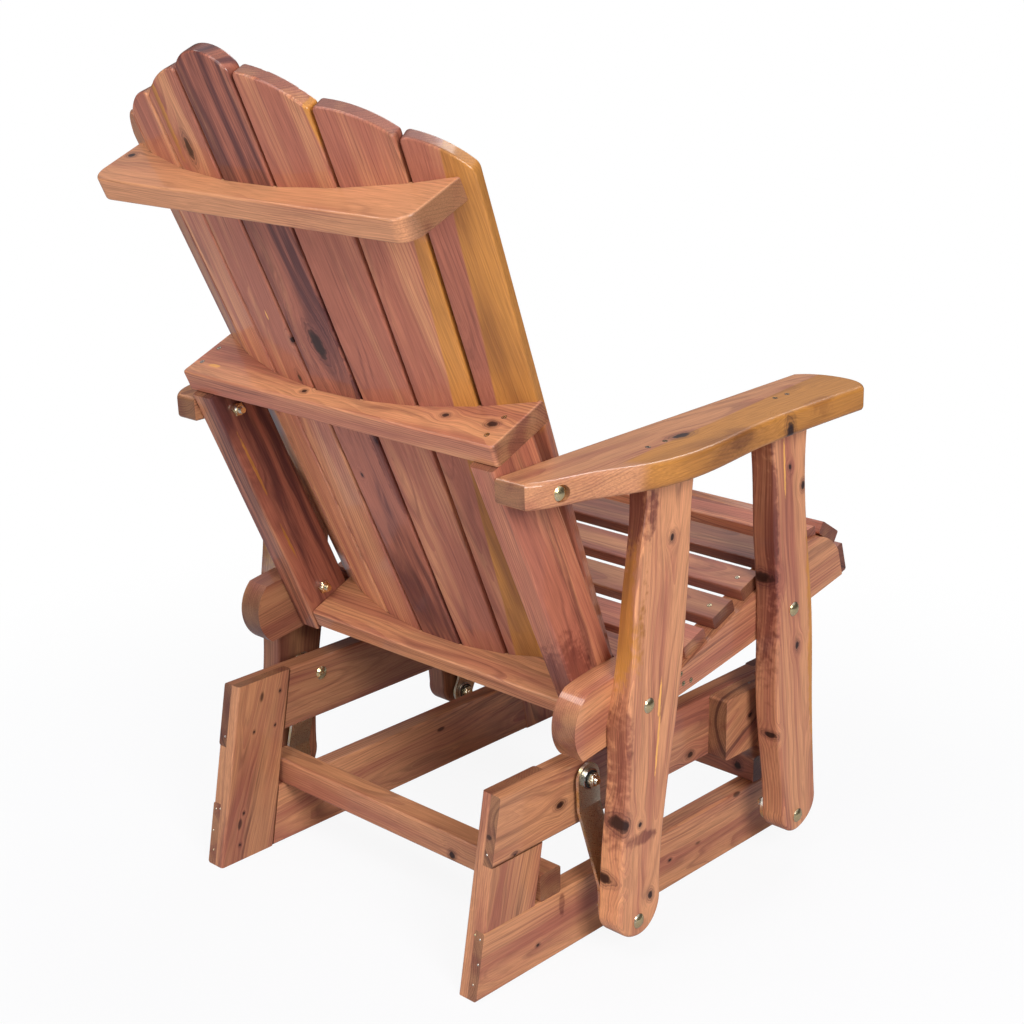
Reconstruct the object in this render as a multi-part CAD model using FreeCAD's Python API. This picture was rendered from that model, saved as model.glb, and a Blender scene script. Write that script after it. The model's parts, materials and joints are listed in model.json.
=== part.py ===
import FreeCAD, Part
import math
import os

os.makedirs("parts", exist_ok=True)
V = FreeCAD.Vector

# Millimetres, +Z up, the sitter faces -Y, the sitter's left side is +X.
# Heights start at the floor and Y starts at the middle of the base until the last step.

# Boards of the base frames
frame_inner_x = 234.0
frame_board = 31.0
rail_height = 89.0
frame_height = 260.0
half_length_floor = 362.0
half_length_top = 313.0
base_post_width = 93.0
board_round = 4.0

# Stretchers and stop blocks
stretcher_side = 38.0
stretcher_gap = 1.0
stop_thickness = 30.0
stop_rear_y = -98.0
stop_length = 102.0

# Boards of the seat, stacked outwards from the uprights: upright, seat rail, arm post
seat_board = 38.0
upright_inner_x = 237.0

# Pivots of the four links
upper_rear_y = 164.0
upper_spacing = 428.0
upper_drop = 24.0
front_pivot_inset = 49.0
link_length = 178.0
rear_link_lean = 2.9
front_link_lean = 23.6
link_width = 40.0
link_plate = 4.5
link_crank_from = 40.0
link_bend_radius = 8.0
bearing_outer_r = 14.0
bearing_width = 11.5
bearing_seal_depth = 0.8
side_play = 0.25
spacer_thickness = 3.0
spacer_r = 9.0
pivot_clearance = 0.05
open_pivot_clearance = 2.4

# Bolts and nuts
bolt_r = 5.0
bolt_hole_clearance = 0.3
bolt_head_r = 10.0
bolt_head_height = 5.0
bolt_tail = 3.0
nut_flats = 17.0
nut_height = 9.0
nut_grip = 0.02

# Arm posts
post_round = 5.0

# Arms
arm_thickness = 33.0
arm_slope = 1.6
arm_low_y = 320.0
arm_low_z = 635.0
arm_rear_y = 325.0
arm_front_y = -272.0
arm_front_inner_x = 281.0
arm_front_sweep = 26.0
arm_widest_x = 396.0
arm_tail_left = 37.0
arm_tail_right = 46.0
arm_round = 6.0

# Seat rails and the nose they end in
seat_slope = 20.5
nose_y = -262.0
nose_z = 376.0
nose_r = 77.7
rail_rear_y_left = 222.0
rail_rear_y_right = 208.0
rail_foot_y = 217.0
rail_rear_top_z = 374.0
rail_rear_low_z = 289.0
rail_rear_bow = 20.0
rail_hump_z = 385.0
apron_lean = 17.5

# Seat slats, all sawn to one section, with their ends a little short of the arm posts
slat_end_gap = 6.0
seat_slat_width = 45.0
seat_slat_pitch = 64.3
seat_slat_thickness = 18.5
seat_slat_count = 6
seat_rear_y = 69.5
rear_slat_tuck = 10.0
nose_slat_turn = 122.0
crest_bed = 6.0
slat_round = 3.0

# Back: t runs up along the back, n runs out to the rear, both from the lean
back_lean = 24.0
back_shift = 5.0
upright_front_n = -50.0
upright_rear_n = 26.0
upright_low_t = 342.0
fan_step = 7.8
fan_r = 690.0
fan_r_at_t = 1089.0
fan_growth = 0.182
fan_face_n = -6.0
fan_count = 7
slat_gap = 5.5
arm_slat_gap = 1.0
slat_thickness = 20.0
slat_low_t = 352.0
last_slat_outer_half = 30.5
crown_t = 1237.0
crown_drop = 22.0
crown_inner_t = (1214.0, 1170.0, 1126.0)
crown_fall = (44.0, 39.0, 47.0)
crown_swell = 8.0
crown_inner_r = 7.0
crown_outer_r = 6.0
crown_last_r = 16.0

# Braces of the back
brace_thickness = 30.0
brace_seat_depth = 0.3
brace_round = 3.0
middle_brace_t = 748.6
middle_brace_rear_n = 17.7
middle_brace_half = 283.0
upper_brace_t = 1043.0
upper_brace_rear_n = 23.5
upper_brace_half = 278.0
upper_brace_corner_r = 25.0
lower_brace_t = 348.8
lower_brace_thickness = 26.0
lower_brace_rear_n = 25.0

# Places of the bolts that hold the seat together
rear_post_bolt_left = (152.0, 365.0)
rear_post_bolt_right = (139.0, 349.0)
nut_room = 1.5
front_post_bolt = (-165.0, 388.0)
arm_bolt_y = 286.0

# Worked out from the sizes above
frame_outer_x = frame_inner_x + frame_board
frame_lap_x = frame_inner_x + frame_board / 2
rail_inner_x = upright_inner_x + seat_board
post_inner_x = rail_inner_x + seat_board
post_outer_x = post_inner_x + seat_board
seat_slat_half_length = post_inner_x - slat_end_gap
upper_z = frame_height - upper_drop
upper_bearing_x = frame_outer_x + spacer_thickness + side_play + bearing_width / 2
lower_bearing_x = post_inner_x - spacer_thickness - side_play - bearing_width / 2
hole_r = bolt_r + bolt_hole_clearance
seat_tilt = math.radians(seat_slope)
arm_tilt = math.radians(arm_slope)
back_tilt = math.radians(back_lean)
side_y = V(0, 1, 0)
side_z = V(0, 0, 1)
along_x = V(1, 0, 0)
back_n = V(0, math.cos(back_tilt), -math.sin(back_tilt))
back_t = V(0, math.sin(back_tilt), math.cos(back_tilt))
nodes = {}


def placed(shape, origin, u, v):
    """Carry a shape drawn in the local XY plane to origin, local x along u and local y along v."""
    w = u.cross(v)
    shape.Placement = FreeCAD.Placement(FreeCAD.Matrix(
        u.x, v.x, w.x, origin.x,
        u.y, v.y, w.y, origin.y,
        u.z, v.z, w.z, origin.z,
        0, 0, 0, 1))
    return shape


def line(start, end):
    return Part.LineSegment(start, end).toShape()


def arc(start, middle, end):
    return Part.Arc(start, middle, end).toShape()


def spline(points):
    curve = Part.BSplineCurve()
    curve.interpolate(points)
    return curve.toShape()


def flat(u, v):
    return V(u, v, 0)


def rounded_face(corners):
    """Face in the local XY plane from (x, y, radius) corners, straight between the rounds."""
    bends = []
    for i, (x, y, radius) in enumerate(corners):
        after = corners[(i + 1) % len(corners)]
        here = flat(x, y)
        back = (flat(*corners[i - 1][:2]) - here).normalize()
        ahead = (flat(*after[:2]) - here).normalize()
        half = back.getAngle(ahead) / 2
        reach = radius / math.tan(half)
        middle = here + (back + ahead).normalize() * (radius / math.sin(half) - radius)
        bends.append((here + back * reach, middle, here + ahead * reach))
    edges = []
    for i, (start, middle, end) in enumerate(bends):
        if (end - start).Length > 1e-4:
            edges.append(arc(start, middle, end))
        following = bends[(i + 1) % len(bends)][0]
        if (following - end).Length > 1e-4:
            edges.append(line(end, following))
    return Part.Face(Part.Wire(edges))


def rounded_rectangle(x0, y0, x1, y1, radius):
    return rounded_face([(x0, y0, radius), (x1, y0, radius), (x1, y1, radius), (x0, y1, radius)])


def side_board(face, x0, x1):
    """Board from a face drawn in (Y, Z), between two planes of constant X."""
    return placed(face.extrude(V(0, 0, x1 - x0)), V(x0, 0, 0), side_y, side_z)


def eased(solid, radius, across):
    """Round the edges that do not run in the direction across."""
    edges = []
    for edge in solid.Edges:
        middle = (edge.FirstParameter + edge.LastParameter) / 2
        if abs(edge.tangentAt(middle).dot(across)) < 0.5:
            edges.append(edge)
    return solid.makeFillet(radius, edges)


def rod(radius, x0, x1, y, z):
    return Part.makeCylinder(radius, x1 - x0, V(x0, y, z), along_x)


def drilled(solid, places, radius=hole_r):
    """Cut holes along X through a solid at the (Y, Z) places."""
    box = solid.BoundBox
    for y, z in places:
        solid = solid.cut(rod(radius, box.XMin - 1, box.XMax + 1, y, z))
    return solid


def mirrored(shape):
    return shape.mirror(V(0, 0, 0), along_x)


def pair(name, left, right=None):
    """Keep a shape for the left side and the mirror image of it, or of another, for the right."""
    nodes[name + "_left"] = left
    nodes[name + "_right"] = mirrored(right or left)


def group(name, shapes):
    """Keep like pieces of both sides as separate solids of one node."""
    nodes[name] = Part.makeCompound(shapes + [mirrored(shape) for shape in shapes])


def bolt(head_x, tail_x, y, z):
    """Dome-head bolt along X with the head's seat at head_x."""
    way = math.copysign(1, tail_x - head_x)
    length = abs(tail_x - head_x)
    rim = 0.2 * bolt_head_height
    swell = 0.72 * bolt_head_r
    edges = [
        arc(flat(-bolt_head_height, 0), flat(-0.74 * bolt_head_height, swell), flat(-rim, bolt_head_r)),
        line(flat(-rim, bolt_head_r), flat(0, bolt_head_r)),
        line(flat(0, bolt_head_r), flat(0, bolt_r)),
        line(flat(0, bolt_r), flat(length - 1, bolt_r)),
        line(flat(length - 1, bolt_r), flat(length, bolt_r - 1)),
        line(flat(length, bolt_r - 1), flat(length, 0)),
        line(flat(length, 0), flat(-bolt_head_height, 0)),
    ]
    solid = Part.Face(Part.Wire(edges)).revolve(V(0, 0, 0), along_x, 360)
    return placed(solid, V(head_x, y, z), along_x * way, side_y)


def nut(x0, y, z):
    """Hex nut on a bolt along X, from x0 outwards, its bore gripping the bolt."""
    corner_r = nut_flats / math.sqrt(3)
    corners = []
    for i in range(6):
        turn = math.radians(60 * i)
        corners.append((corner_r * math.cos(turn) + y, corner_r * math.sin(turn) + z, 0))
    solid = side_board(rounded_face(corners), x0, x0 + nut_height)
    return drilled(solid, [(y, z)], bolt_r - nut_grip)


def ring(inner_r, outer_r, x0, x1, y, z):
    return rod(outer_r, x0, x1, y, z).cut(rod(inner_r, x0 - 1, x1 + 1, y, z))


def reach(way, z):
    """Distance of a base frame's end from the middle at a height, way +1 at the rear and -1 at the front.

    The ends slope in towards the top, and the front end keeps its inset from the front pivots.
    """
    top = half_length_top if way > 0 else upper_spacing - upper_rear_y + front_pivot_inset
    return top + (half_length_floor - half_length_top) * (1 - z / frame_height)


def arm_under_z(y):
    return arm_low_z + (arm_low_y - y) * math.tan(arm_tilt)


def back_point(x, n, t):
    return along_x * x + back_n * n + back_t * t


def fan_radius(t):
    """Radius of the fan's cone at a height along the back."""
    return fan_r + fan_growth * (t - fan_r_at_t)


def slat_half_width(t):
    return fan_radius(t) * math.tan(math.radians(fan_step / 2)) - slat_gap / 2


# Pivot places
upper_pivots = {"rear": (upper_rear_y, upper_z), "front": (upper_rear_y - upper_spacing, upper_z)}
link_leans = {"rear": -rear_link_lean, "front": front_link_lean}
lower_pivots = {}
for end, (pivot_y, pivot_z) in upper_pivots.items():
    lean = math.radians(link_leans[end])
    lower_pivots[end] = (pivot_y + link_length * math.sin(lean), pivot_z - link_length * math.cos(lean))

# Base frames: posts and rails halved into each other at the corners
def base_post(way):
    """Sloping post, way +1 at the rear and -1 at the front, halved where the rails cross it."""
    edge_y = way * (reach(way, 0) - base_post_width)
    low_y, high_y = sorted((edge_y, way * reach(way, 0)))
    face = rounded_rectangle(frame_inner_x, low_y, frame_outer_x, high_y, board_round)
    post = face.extrude(V(0, way * (half_length_top - half_length_floor), frame_height))
    for z in (0, frame_height - rail_height):
        half = Part.makeBox(frame_board, reach(1, 0) + reach(-1, 0), rail_height)
        half.translate(V(frame_lap_x, -reach(-1, 0), z))
        post = post.cut(half)
    return post


def post_lap(way):
    """Room that a post takes out of the inner half of the rails."""
    floor_y = way * (reach(way, 0) - base_post_width)
    far_y = way * (reach(way, 0) + 10)
    lean_y = way * (half_length_top - half_length_floor)
    low_y, high_y = sorted((floor_y, far_y))
    face = rounded_rectangle(frame_inner_x - 1, low_y, frame_lap_x, high_y, 0)
    return face.extrude(V(0, lean_y, frame_height))


def base_rail(z0):
    """Rail with sloping ends, from z0 up, halved where the posts cross it."""
    z1 = z0 + rail_height
    face = rounded_rectangle(frame_inner_x, z0, frame_outer_x, z1, board_round)
    length = reach(1, 0) + reach(-1, 0)
    rail = placed(face.extrude(V(0, 0, length)), V(0, reach(1, 0), 0), along_x, side_z)
    ends = rounded_face([
        (-reach(-1, z0), z0, 0), (reach(1, z0), z0, 0), (reach(1, z1), z1, 0), (-reach(-1, z1), z1, 0)])
    rail = rail.common(side_board(ends, frame_inner_x - 1, frame_outer_x + 1))
    return rail.cut(post_lap(1)).cut(post_lap(-1))


upper_places = list(upper_pivots.values())
pair("base_bottom_rail", base_rail(0))
pair("base_top_rail", drilled(base_rail(frame_height - rail_height), upper_places))
pair("base_rear_post", base_post(1))
pair("base_front_post", drilled(base_post(-1), [upper_pivots["front"]]))

# Stretchers lie on the bottom rails just inside the posts
stretcher_top_z = rail_height + stretcher_side
stretcher_inset = base_post_width + stretcher_gap
rear_stretcher_y = reach(1, stretcher_top_z) - stretcher_inset - stretcher_side
front_stretcher_y = stretcher_inset - reach(-1, stretcher_top_z)
for name, low_y in (("rear_stretcher", rear_stretcher_y), ("front_stretcher", front_stretcher_y)):
    section = rounded_rectangle(
        low_y, rail_height, low_y + stretcher_side, rail_height + stretcher_side, board_round)
    nodes[name] = side_board(section, -frame_outer_x, frame_outer_x)

# Stop blocks on the outer faces of the top rails
stop = rounded_rectangle(
    stop_rear_y - stop_length, frame_height - rail_height, stop_rear_y, frame_height, board_round)
pair("stop_block", side_board(stop, frame_outer_x, frame_outer_x + stop_thickness))

# Upper pivots: head on the inner face of the rail, spacer, bearing, nut
bearing_end_x = upper_bearing_x + bearing_width / 2 + side_play
group("upper_pivot_bolts", [
    bolt(frame_inner_x, bearing_end_x + nut_height + bolt_tail, y, z) for y, z in upper_places])
group("upper_pivot_nuts", [nut(bearing_end_x, y, z) for y, z in upper_places])
group("upper_pivot_spacers", [
    ring(hole_r, spacer_r, frame_outer_x, frame_outer_x + spacer_thickness, y, z) for y, z in upper_places])


# Links: a strap cranked outwards between its ends, with a bearing pressed in at each end
def bearing(x, y, z, bore_r):
    """Ball bearing along X about x, its seals set back between the outer and inner rings."""
    whole = ring(bore_r, bearing_outer_r, x - bearing_width / 2, x + bearing_width / 2, y, z)
    seal_in_r = bore_r + 0.3 * (bearing_outer_r - bore_r)
    seal_out_r = bore_r + 0.78 * (bearing_outer_r - bore_r)
    for face_x in (x - bearing_width / 2, x + bearing_width / 2 - bearing_seal_depth):
        whole = whole.cut(ring(seal_in_r, seal_out_r, face_x, face_x + bearing_seal_depth, y, z))
    return whole


def strap():
    """Cranked strap hanging straight down from the origin of Y and Z."""
    end_r = link_width / 2
    half = link_plate / 2
    span = [
        (upper_bearing_x, end_r), (upper_bearing_x, -link_crank_from),
        (lower_bearing_x, link_crank_from - link_length), (lower_bearing_x, -link_length - end_r)]
    bend = math.atan2(lower_bearing_x - upper_bearing_x, link_length - 2 * link_crank_from)
    shift = half * math.tan(bend / 2)
    tight = link_bend_radius
    wide = link_bend_radius + link_plate
    corners = [
        (span[0][0] - half, span[0][1], 0),
        (span[1][0] - half, span[1][1] - shift, wide),
        (span[2][0] - half, span[2][1] - shift, tight),
        (span[3][0] - half, span[3][1], 0),
        (span[3][0] + half, span[3][1], 0),
        (span[2][0] + half, span[2][1] + shift, wide),
        (span[1][0] + half, span[1][1] + shift, tight),
        (span[0][0] + half, span[0][1], 0)]
    profile = rounded_face(corners)
    bar = placed(profile.extrude(V(0, 0, link_width)), V(0, end_r, 0), along_x, side_z)
    ends = rounded_rectangle(-end_r, -link_length - end_r, end_r, end_r, end_r)
    return bar.common(side_board(ends, upper_bearing_x - link_width, lower_bearing_x + link_width))


for end, (pivot_y, pivot_z) in upper_pivots.items():
    low_bore = bolt_r + (open_pivot_clearance if end == "front" else pivot_clearance)
    plate = drilled(strap(), [(0, 0), (0, -link_length)], bearing_outer_r - nut_grip)
    races = [
        bearing(upper_bearing_x, 0, 0, bolt_r + pivot_clearance),
        bearing(lower_bearing_x, 0, -link_length, low_bore)]
    for piece in [plate] + races:
        piece.rotate(V(0, 0, 0), along_x, link_leans[end])
        piece.translate(V(0, pivot_y, pivot_z))
    pair("glide_link_" + end, plate)
    pair("link_bearings_" + end, Part.makeCompound(races))


# Arm posts: boards with one wavy live edge on each side, running from the arm to the lower pivot
def arm_post(front_edge, rear_edge, heel):
    """Post from two edges given from the top down in (Y, Z), closed at the bottom by the heel's points."""
    top_front = flat(front_edge[0], arm_under_z(front_edge[0]))
    top_rear = flat(rear_edge[0], arm_under_z(rear_edge[0]))
    front = [top_front] + [flat(*point) for point in front_edge[1:]]
    rear = [top_rear] + [flat(*point) for point in rear_edge[1:]]
    toe = [front[-1]] + [flat(*point) for point in heel] + [rear[-1]]
    edges = [spline(front), spline(toe), spline(rear), line(top_front, top_rear)]
    face = Part.Face(Part.Wire(Part.__sortEdges__(edges)))
    if face.normalAt(0, 0).z < 0:
        face.reverse()
    return side_board(face, post_inner_x, post_outer_x)


def post_eased(solid):
    """Round the long edges of an arm post, leaving its sawn top sharp."""
    edges = []
    for edge in solid.Edges:
        middle = (edge.FirstParameter + edge.LastParameter) / 2
        high = all(vertex.Z > arm_low_z - 20 for vertex in edge.Vertexes)
        if abs(edge.tangentAt(middle).x) < 0.5 and not high:
            edges.append(edge)
    return solid.makeFillet(post_round, edges)


def wane(rear_edge, depths):
    """Bark side of a post, by which its rear edge runs off towards the inner face, to be cut away."""
    top = (rear_edge[0], arm_under_z(rear_edge[0]) + 10)
    sections = []
    for (edge_y, z), depth in zip([top] + rear_edge[1:], depths):
        inside = V(post_inner_x - 1, edge_y - depth, z)
        outside = V(post_outer_x + 1, edge_y + 2, z)
        beyond = V(post_outer_x + 1, edge_y + 30, z)
        behind = V(post_inner_x - 1, edge_y + 30, z)
        sections.append(Part.makePolygon([inside, outside, beyond, behind, inside]))
    return Part.makeLoft(sections, True)


rear_post_edge = [
    147, (146, 590), (157, 538), (165, 476), (167, 410), (175, 347), (176, 258), (183, 185), (189, 80)]
rear_post = post_eased(arm_post(
    [52, (60, 560), (61, 522), (67, 430), (76, 350), (95, 241), (111, 85)], rear_post_edge,
    [(117, 56), (135, 39), (168, 39), (185, 52)]))
rear_post = rear_post.cut(wane(rear_post_edge, (9, 13, 19, 18, 12, 7, -3)))
pair("arm_post_rear",
     drilled(rear_post, [lower_pivots["rear"], rear_post_bolt_left]),
     drilled(rear_post, [lower_pivots["rear"], rear_post_bolt_right]))
front_post = post_eased(arm_post(
    [-184, (-183, 562), (-192, 490), (-210, 382), (-220, 253), (-230, 143), (-236, 92)],
    [-100, (-110, 592), (-118, 493), (-129, 405), (-133, 281), (-140, 217), (-154, 138), (-160, 85)],
    [(-228, 67), (-210, 54), (-187, 50), (-168, 60)]))
pair("arm_post_front", drilled(front_post, [lower_pivots["front"], front_post_bolt]))


# Arms: straight inside, live-edged outside, narrowing to the rear
def arm(tail):
    """Arm drawn from above in (X, Y), its rear end as wide as the tail, then tipped up to the front."""
    inner_x = rail_inner_x
    straight_y = arm_low_y - 90
    corner_y = arm_front_y + arm_front_sweep
    outer = [
        flat(arm_widest_x - 4, corner_y), flat(arm_widest_x - 9, -120), flat(arm_widest_x - 9, -30),
        flat(arm_widest_x, 125), flat(arm_widest_x - 17, 194), flat(arm_widest_x - 44, 251),
        flat(arm_widest_x - 56, 289), flat(inner_x + tail, arm_rear_y)]
    front = [
        flat(arm_front_inner_x, corner_y),
        flat(arm_front_inner_x + 18, arm_front_y + 0.4 * arm_front_sweep),
        flat(arm_front_inner_x + 58, arm_front_y),
        flat(arm_widest_x - 22, arm_front_y + 0.25 * arm_front_sweep),
        outer[0]]
    edges = [
        spline(outer),
        line(outer[-1], flat(inner_x, arm_rear_y)),
        line(flat(inner_x, arm_rear_y), flat(inner_x, straight_y)),
        line(flat(inner_x, straight_y), front[0]),
        spline(front)]
    face = Part.Face(Part.Wire(Part.__sortEdges__(edges)))
    if face.normalAt(0, 0).z < 0:
        face.reverse()
    solid = face.extrude(V(0, 0, arm_thickness))
    rims = []
    for edge in solid.Edges:
        middle = (edge.FirstParameter + edge.LastParameter) / 2
        against_upright = all(abs(vertex.X - inner_x) < 1 for vertex in edge.Vertexes)
        if abs(edge.tangentAt(middle).z) < 0.5 and not against_upright:
            rims.append(edge)
    solid = solid.makeFillet(arm_round, rims)
    solid.translate(V(0, -arm_low_y, 0))
    solid.rotate(V(0, 0, 0), along_x, -arm_slope)
    solid.translate(V(0, arm_low_y, arm_low_z))
    return solid


arm_bolt_z = arm_under_z(arm_bolt_y) + arm_thickness / 2
arm_bolt_place = (arm_bolt_y, arm_bolt_z)
arm_head_x = arm_widest_x - 58
head_room = rod(bolt_head_r + bolt_hole_clearance, arm_head_x, arm_widest_x, arm_bolt_y, arm_bolt_z)
pair("arm",
     drilled(arm(arm_tail_left), [arm_bolt_place]).cut(head_room),
     drilled(arm(arm_tail_right), [arm_bolt_place]).cut(head_room))

# Seat rails: scooped top for the slats, round nose with a flat for the apron, bowed rear end
nose = flat(nose_y, nose_z)
up_face = flat(math.sin(seat_tilt), math.cos(seat_tilt))
fore_face = flat(-math.cos(seat_tilt), math.sin(seat_tilt))
nose_start = nose + up_face * nose_r
apron_tilt = math.radians(apron_lean)
apron_out = flat(-math.cos(apron_tilt), math.sin(apron_tilt))
apron_down = flat(-math.sin(apron_tilt), -math.cos(apron_tilt))
apron_top = nose + flat(math.cos(math.radians(145)), math.sin(math.radians(145))) * nose_r
apron_low = apron_top + apron_down * (seat_slat_width - 4)
nose_crest = nose + flat(math.cos(math.radians(108)), math.sin(math.radians(108))) * nose_r


def seat_line(run):
    """Point on the top of the rail, run forward from the rear edge of the rearmost slat."""
    rear_run = (nose_start.x - seat_rear_y) / fore_face.x
    return nose_start + fore_face * (run - rear_run)


def seat_rail(rear_y):
    """Rail of one side, with its rear end at rear_y, before it is drilled."""
    scoop_end = seat_line(-8)
    hump = flat(scoop_end.x + 30, rail_hump_z)
    rear_top = flat(rear_y, rail_rear_top_z)
    rear_low = flat(rail_foot_y, rail_rear_low_z)
    rear_bow = (rear_top + rear_low) * 0.5 + flat(rail_rear_bow, 0)
    edges = [
        arc(rear_low, flat(-60, 0.5 * (rail_rear_low_z + apron_low.y) - 5), apron_low),
        line(apron_low, apron_top),
        arc(apron_top, nose_crest, nose_start),
        line(nose_start, scoop_end),
        spline([scoop_end, scoop_end + flat(13, 18), hump]),
        arc(hump, (hump + rear_top) * 0.5 + flat(0, 3), rear_top),
        arc(rear_top, rear_bow, rear_low)]
    face = Part.Face(Part.Wire(edges))
    if face.normalAt(0, 0).z < 0:
        face.reverse()
    return side_board(face, rail_inner_x, post_inner_x)


# Seat slats across the rails, from the rear to the front and over the nose
def across_rails(section, middle, normal):
    """Board of a section lying on the rails about a point of their top in (Y, Z)."""
    start = V(seat_slat_half_length, middle.x, middle.y)
    board = section.extrude(V(0, 0, 2 * seat_slat_half_length))
    return placed(board, start, V(0, -normal.y, normal.x), V(0, normal.x, normal.y))


def nose_normal(degrees):
    return flat(math.cos(math.radians(degrees)), math.sin(math.radians(degrees)))


slat_section = rounded_rectangle(
    -seat_slat_width / 2, 0, seat_slat_width / 2, seat_slat_thickness, slat_round)
bed_section = Part.makePlane(seat_slat_width, seat_slat_thickness, V(-seat_slat_width / 2, 0, 0))
straight_run = (nose_start.x - seat_rear_y) / fore_face.x
beds = []
for i in range(seat_slat_count):
    run = seat_slat_width / 2 + max(i * seat_slat_pitch, rear_slat_tuck)
    middle = seat_line(run)
    normal = up_face
    over = run - straight_run
    if over > 0:
        normal = nose_normal(90 - seat_slope + math.degrees(over / nose_r))
        middle = nose + normal * (nose_r - crest_bed)
        beds.append(across_rails(bed_section, middle, normal))
    nodes["seat_slat_%d" % (i + 1)] = across_rails(slat_section, middle, normal)
normal = nose_normal(nose_slat_turn)
nodes["front_nose_slat"] = across_rails(slat_section, nose + normal * nose_r, normal)
nodes["front_apron_slat"] = across_rails(
    slat_section, apron_top + apron_down * (seat_slat_width / 2), apron_out)
pair("seat_rail",
     drilled(seat_rail(rail_rear_y_left).cut(beds), [rear_post_bolt_left, front_post_bolt]),
     drilled(seat_rail(rail_rear_y_right).cut(beds), [rear_post_bolt_right, front_post_bolt]))

# Back uprights stand inside the seat rails
upright_section = rounded_rectangle(
    upright_inner_x, upright_front_n, rail_inner_x, upright_rear_n, board_round)
upright = placed(
    upright_section.extrude(V(0, 0, middle_brace_t - upright_low_t)),
    back_point(0, 0, upright_low_t), along_x, back_n)
pair("back_upright",
     drilled(upright, [rear_post_bolt_left, arm_bolt_place]),
     drilled(upright, [rear_post_bolt_right, arm_bolt_place]))


# Back slats: flat boards on a widening fan, cut at the top to a stepped crown
def fan_slat(step, ease):
    """Slat a number of steps from the middle towards +X, with or without its rounded edges."""
    turn = math.radians(fan_step * step)
    widest = math.radians(fan_step / 2)
    across = along_x * math.cos(turn) - back_n * math.sin(turn)
    grow = along_x * (fan_growth * math.sin(turn)) - back_n * (fan_growth * (1 - math.cos(turn)))
    along = back_t + grow
    stretch = along.Length
    along.normalize()
    facing = across.cross(along).normalize()
    low_r = fan_radius(slat_low_t)
    chord = low_r * (1 - math.cos(widest))
    foot = back_point(
        (low_r - chord) * math.sin(turn),
        fan_face_n - low_r + (low_r - chord) * math.cos(turn), slat_low_t)
    last = step == len(crown_inner_t)
    if step:
        inner_t = crown_inner_t[step - 1]
        outer_t = inner_t - crown_fall[step - 1]
        middle_t = (inner_t + outer_t) / 2 + crown_swell
    else:
        inner_t = crown_t - crown_drop
        outer_t = inner_t
        middle_t = crown_t

    def place(half, t):
        return flat(half, (t - slat_low_t) * stretch)

    def outer_half(t):
        return last_slat_outer_half if last else slat_half_width(t)

    low_in = place(-slat_half_width(slat_low_t), slat_low_t)
    low_out = place(outer_half(slat_low_t), slat_low_t)
    top_out = place(outer_half(outer_t), outer_t)
    top_in = place(-slat_half_width(inner_t), inner_t)
    crest = place((top_in.x + top_out.x) / 2, middle_t)
    face = Part.Face(Part.Wire([
        line(low_in, low_out), line(low_out, top_out), arc(top_out, crest, top_in), line(top_in, low_in)]))
    board = face.extrude(V(0, 0, slat_thickness))
    corner_r = {"out": crown_last_r if last else crown_outer_r, "in": crown_inner_r}
    if step == 0:
        corner_r = {"out": 2 * crown_inner_r, "in": 2 * crown_inner_r}
    if ease:
        for key, corner in (("out", top_out), ("in", top_in)):
            post_edges = []
            for edge in board.Edges:
                strays = [(vertex.Point - V(corner.x, corner.y, vertex.Z)).Length for vertex in edge.Vertexes]
                if max(strays) < 0.01:
                    post_edges.append(edge)
            board = board.makeFillet(corner_r[key], post_edges)
        board = eased(board, slat_round, side_z)
    return placed(board, foot, along.cross(facing), along)


fan_half = fan_count // 2
slat_blanks = []
for step in range(fan_half + 1):
    slat = fan_slat(step, True)
    blank = fan_slat(step, False)
    slat_blanks.append(blank)
    nodes["back_slat_%d" % (fan_half + 1 - step)] = slat
    if step:
        slat_blanks.append(mirrored(blank))
        nodes["back_slat_%d" % (fan_half + 1 + step)] = mirrored(slat)
for i in range(fan_count):
    nodes["back_slat_%d" % (i + 1)].translate(along_x * back_shift)
    slat_blanks[i].translate(along_x * back_shift)

# Each arm is eased where the outermost slat passes it
for blank in slat_blanks[-2:]:
    side, way = ("left", 1) if blank.BoundBox.XMax > rail_inner_x else ("right", -1)
    nodes["arm_" + side] = nodes["arm_" + side].cut(blank.translated(along_x * way * arm_slat_gap))


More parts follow.
